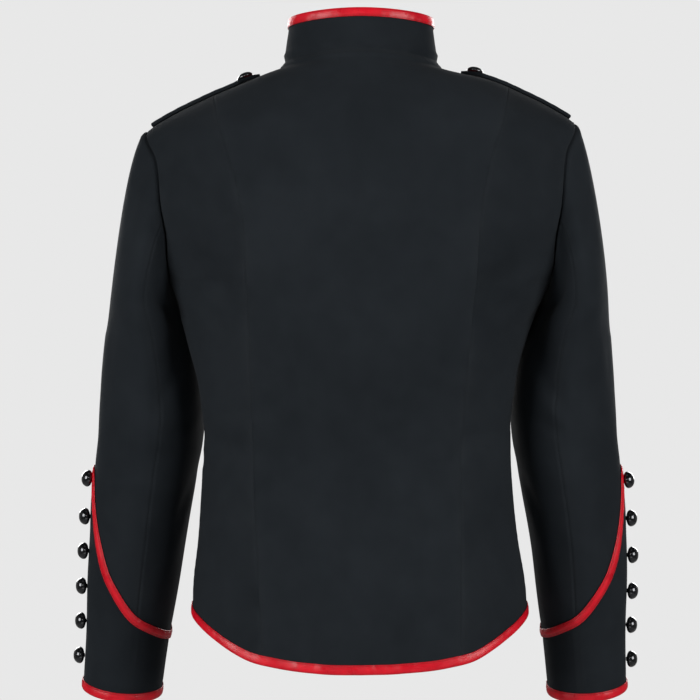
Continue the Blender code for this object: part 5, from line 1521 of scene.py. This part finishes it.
def addButton(name, seat, out, spin, lift=button["lift"], tall=button["tall"]):
    turns = np.arange(button["segments"]) * 2 * np.pi / button["segments"]
    outline = np.array(button["outline"][1:])
    radius, height = outline[:, :1] * button["radius"], outline[:, 1:] * tall
    grid = np.stack([radius * np.cos(turns), radius * np.sin(turns), height + 0 * turns], axis=-1)
    tilt = Vector(out).to_track_quat("Z", "Y").to_matrix()
    grid = grid @ np.array(tilt).T + seat + out * lift
    rows, columns = grid.shape[:2]
    quads, corners = strips(rows, columns, True)
    spun = np.repeat((np.arange(columns + 1) / columns + spin)[None], rows, axis=0)
    cutGrid = np.stack([spun, np.repeat(outline[:, 1:], columns + 1, axis=1)], axis=-1)
    cut = np.stack([cutGrid[a, b] for a, b in corners], 1)
    points, caps = grid.reshape(-1, 3), endCaps(rows, columns)
    piece = addMesh(
        "metal_" + name, points, quads, cut, "gunmetal", None, caps, sharp=button["sharp"])
    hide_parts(name)


droop = Matrix.Rotation(np.radians(button["cuffTilt"]), 3, "Z")  # each cuff button leans to the back
for side, sign in sides.items():
    for number, lift in enumerate(button["cuffLifts"]):
        turn = np.array(button["cuffTurn"])
        level = np.array(button["cuffFirst"][side] - number * button["cuffStep"])
        seat, out = tubeForm(turn, level, side), np.array(droop @ Vector(tubeOut(turn, level, side)))
        spin = button["spin"]["cuff"] * number + button["spin"]["side"] * sign
        addButton(f"cuff_button_{side}_{number + 1}", mirrored(seat, side), mirrored(out, side), spin, lift)
    at, middle = np.array([strap["buttonAt"]]), np.zeros(1)
    seat = strapPoints(at, middle, side, np.full(1, strap["thick"]))[0]
    above = strapPoints(at, middle, side, np.full(1, strap["thick"] + button["feel"]))[0]
    spin = button["spin"]["strap"] * sign
    addButton("epaulette_button_" + side, seat, unit(above - seat), spin, tall=button["strapTall"])
for number in range(button["frontCount"]):
    angle, level = np.array(180.0), np.array(button["frontFirst"] - number * button["frontStep"])
    out = bodyOut(angle, level)
    seat = bodySurface(angle, level) + out * body["lapRise"]
    addButton(f"front_button_{number + 1}", seat, out, button["spin"]["front"] * number)
print("buttons sewn on")


studio = {
    "middle": (0.0, 0.0, -0.32), "floor": -2.05, "radius": 5.2, "bend": 1.2, "top": 3.4,
    "pale": (0.30, 0.30, 0.30, 1), "rough": (0.90, 0.94),
    "floorRings": (0.05, 1.5, 3.0), "bendRings": 14, "segments": 96,
    "seen": 0.807, "glow": 0.03, "world": (1.0, 1.0, 1.0, 1), "worldStrength": 0.03,
    # where each soft light hangs, its size and its power
    "lights": (
        ("name", "x", "y", "z", "wide", "tall", "power"),
        ("backLeft", 2.5, 1.9, 0.30, 1.8, 1.5, 82),
        ("backRight", -2.5, 1.9, 0.25, 1.8, 1.5, 80),
        ("backSmall", 0.3, 3.4, 0.50, 0.35, 0.35, 7),
        ("overhead", 0.0, 0.9, 2.6, 2.0, 1.4, 3),
        ("below", 0.0, 2.4, -1.8, 2.2, 0.6, 4),
        ("frontLeft", 1.45, -2.8, 0.45, 1.1, 1.7, 42),
        ("frontRight", -1.45, -2.8, 0.35, 1.1, 1.7, 38),
    ),
}


def makePaper():
    paper = bpy.data.materials.new("paper")
    paper.use_nodes = True
    tree = paper.node_tree
    shader, output = tree.nodes["Principled BSDF"], tree.nodes["Material Output"]
    grain = node(tree, "TexNoise", (-400, 0), {"Scale": 3.0, "Detail": 2.0})
    rough = spread(tree, (-200, 0), grain.outputs["Fac"], 0.0, 1.0, *studio["rough"])
    tree.links.new(rough, shader.inputs["Roughness"])
    shader.inputs["Base Color"].default_value = studio["pale"]
    shader.inputs["Specular IOR Level"].default_value = 0.0
    shader.inputs["Emission Color"].default_value = (1, 1, 1, 1)
    shader.inputs["Emission Strength"].default_value = studio["glow"]
    # evenly lit where it is looked at, dimmer where it lights the cloth
    even = node(tree, "Emission", (100, -300), {"Strength": studio["seen"]})
    rays = node(tree, "LightPath", (100, 300))
    mixing = {0: rays.outputs["Is Camera Ray"], 1: shader.outputs[0], 2: even.outputs[0]}
    both = node(tree, "MixShader", (320, 0), mixing)
    tree.links.new(both.outputs[0], output.inputs["Surface"])
    return paper


def makeStage():  # a round floor that bends up into the wall
    turns = np.arange(studio["segments"]) * 2 * np.pi / studio["segments"]
    bend = np.radians(np.linspace(0, 90, studio["bendRings"]))
    outer = studio["radius"] - studio["bend"] * (1 - np.sin(bend))
    radius = np.concatenate([studio["floorRings"], outer, [studio["radius"]]])[:, None]
    rise = studio["bend"] * (1 - np.cos(bend))
    height = np.concatenate([[0] * len(studio["floorRings"]), rise, [studio["top"] - studio["floor"]]])
    height = height[:, None] + studio["floor"] + 0 * turns
    grid = np.stack([radius * np.cos(turns), radius * np.sin(turns), height], axis=-1)
    quads, _ = strips(len(radius), len(turns), True)
    mesh = bpy.data.meshes.new("studioFloor")
    mesh.from_pydata(grid.reshape(-1, 3).tolist(), [], quads.tolist() + [list(range(len(turns)))])
    mesh.shade_smooth()
    mesh.materials.append(makePaper())
    stage = bpy.data.objects.new("studioFloor", mesh)
    bpy.context.scene.collection.objects.link(stage)


def makeLights():
    for light in rowsOf(studio["lights"]):
        data = bpy.data.lights.new(light["name"], "AREA")
        data.shape = "RECTANGLE"
        data.size, data.size_y, data.energy = light["wide"], light["tall"], light["power"]
        lamp = bpy.data.objects.new(light["name"], data)
        lamp.location = (light["x"], light["y"], light["z"])
        aim = Vector(studio["middle"]) - lamp.location
        lamp.rotation_euler = aim.to_track_quat("-Z", "Y").to_euler()
        lamp.visible_camera = False
        bpy.context.scene.collection.objects.link(lamp)


def makeWorld():
    world = bpy.data.worlds.new("studioAir")
    bpy.context.scene.world = world
    world.use_nodes = True
    world.node_tree.nodes["Background"].inputs["Color"].default_value = studio["world"]
    world.node_tree.nodes["Background"].inputs["Strength"].default_value = studio["worldStrength"]


camera = {"place": (0.012, 2.3, -0.306), "sensor": 36.0, "lens": 108.2}


def makeCamera():
    data = bpy.data.cameras.new("backView")
    data.sensor_width, data.lens = camera["sensor"], camera["lens"]
    view = bpy.data.objects.new("backView", data)
    view.location = camera["place"]
    view.rotation_euler = (np.pi / 2, 0, np.pi)
    bpy.context.scene.collection.objects.link(view)
    bpy.context.scene.camera = view


makeStage()
makeLights()
makeWorld()
makeCamera()
bpy.context.scene.view_settings.view_transform = "Standard"

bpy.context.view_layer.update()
triangles = sum(len(piece.data.loops) - 2 * len(piece.data.polygons) for piece in allPieces.values())
print("pieces:", len(allPieces), "triangles:", triangles)
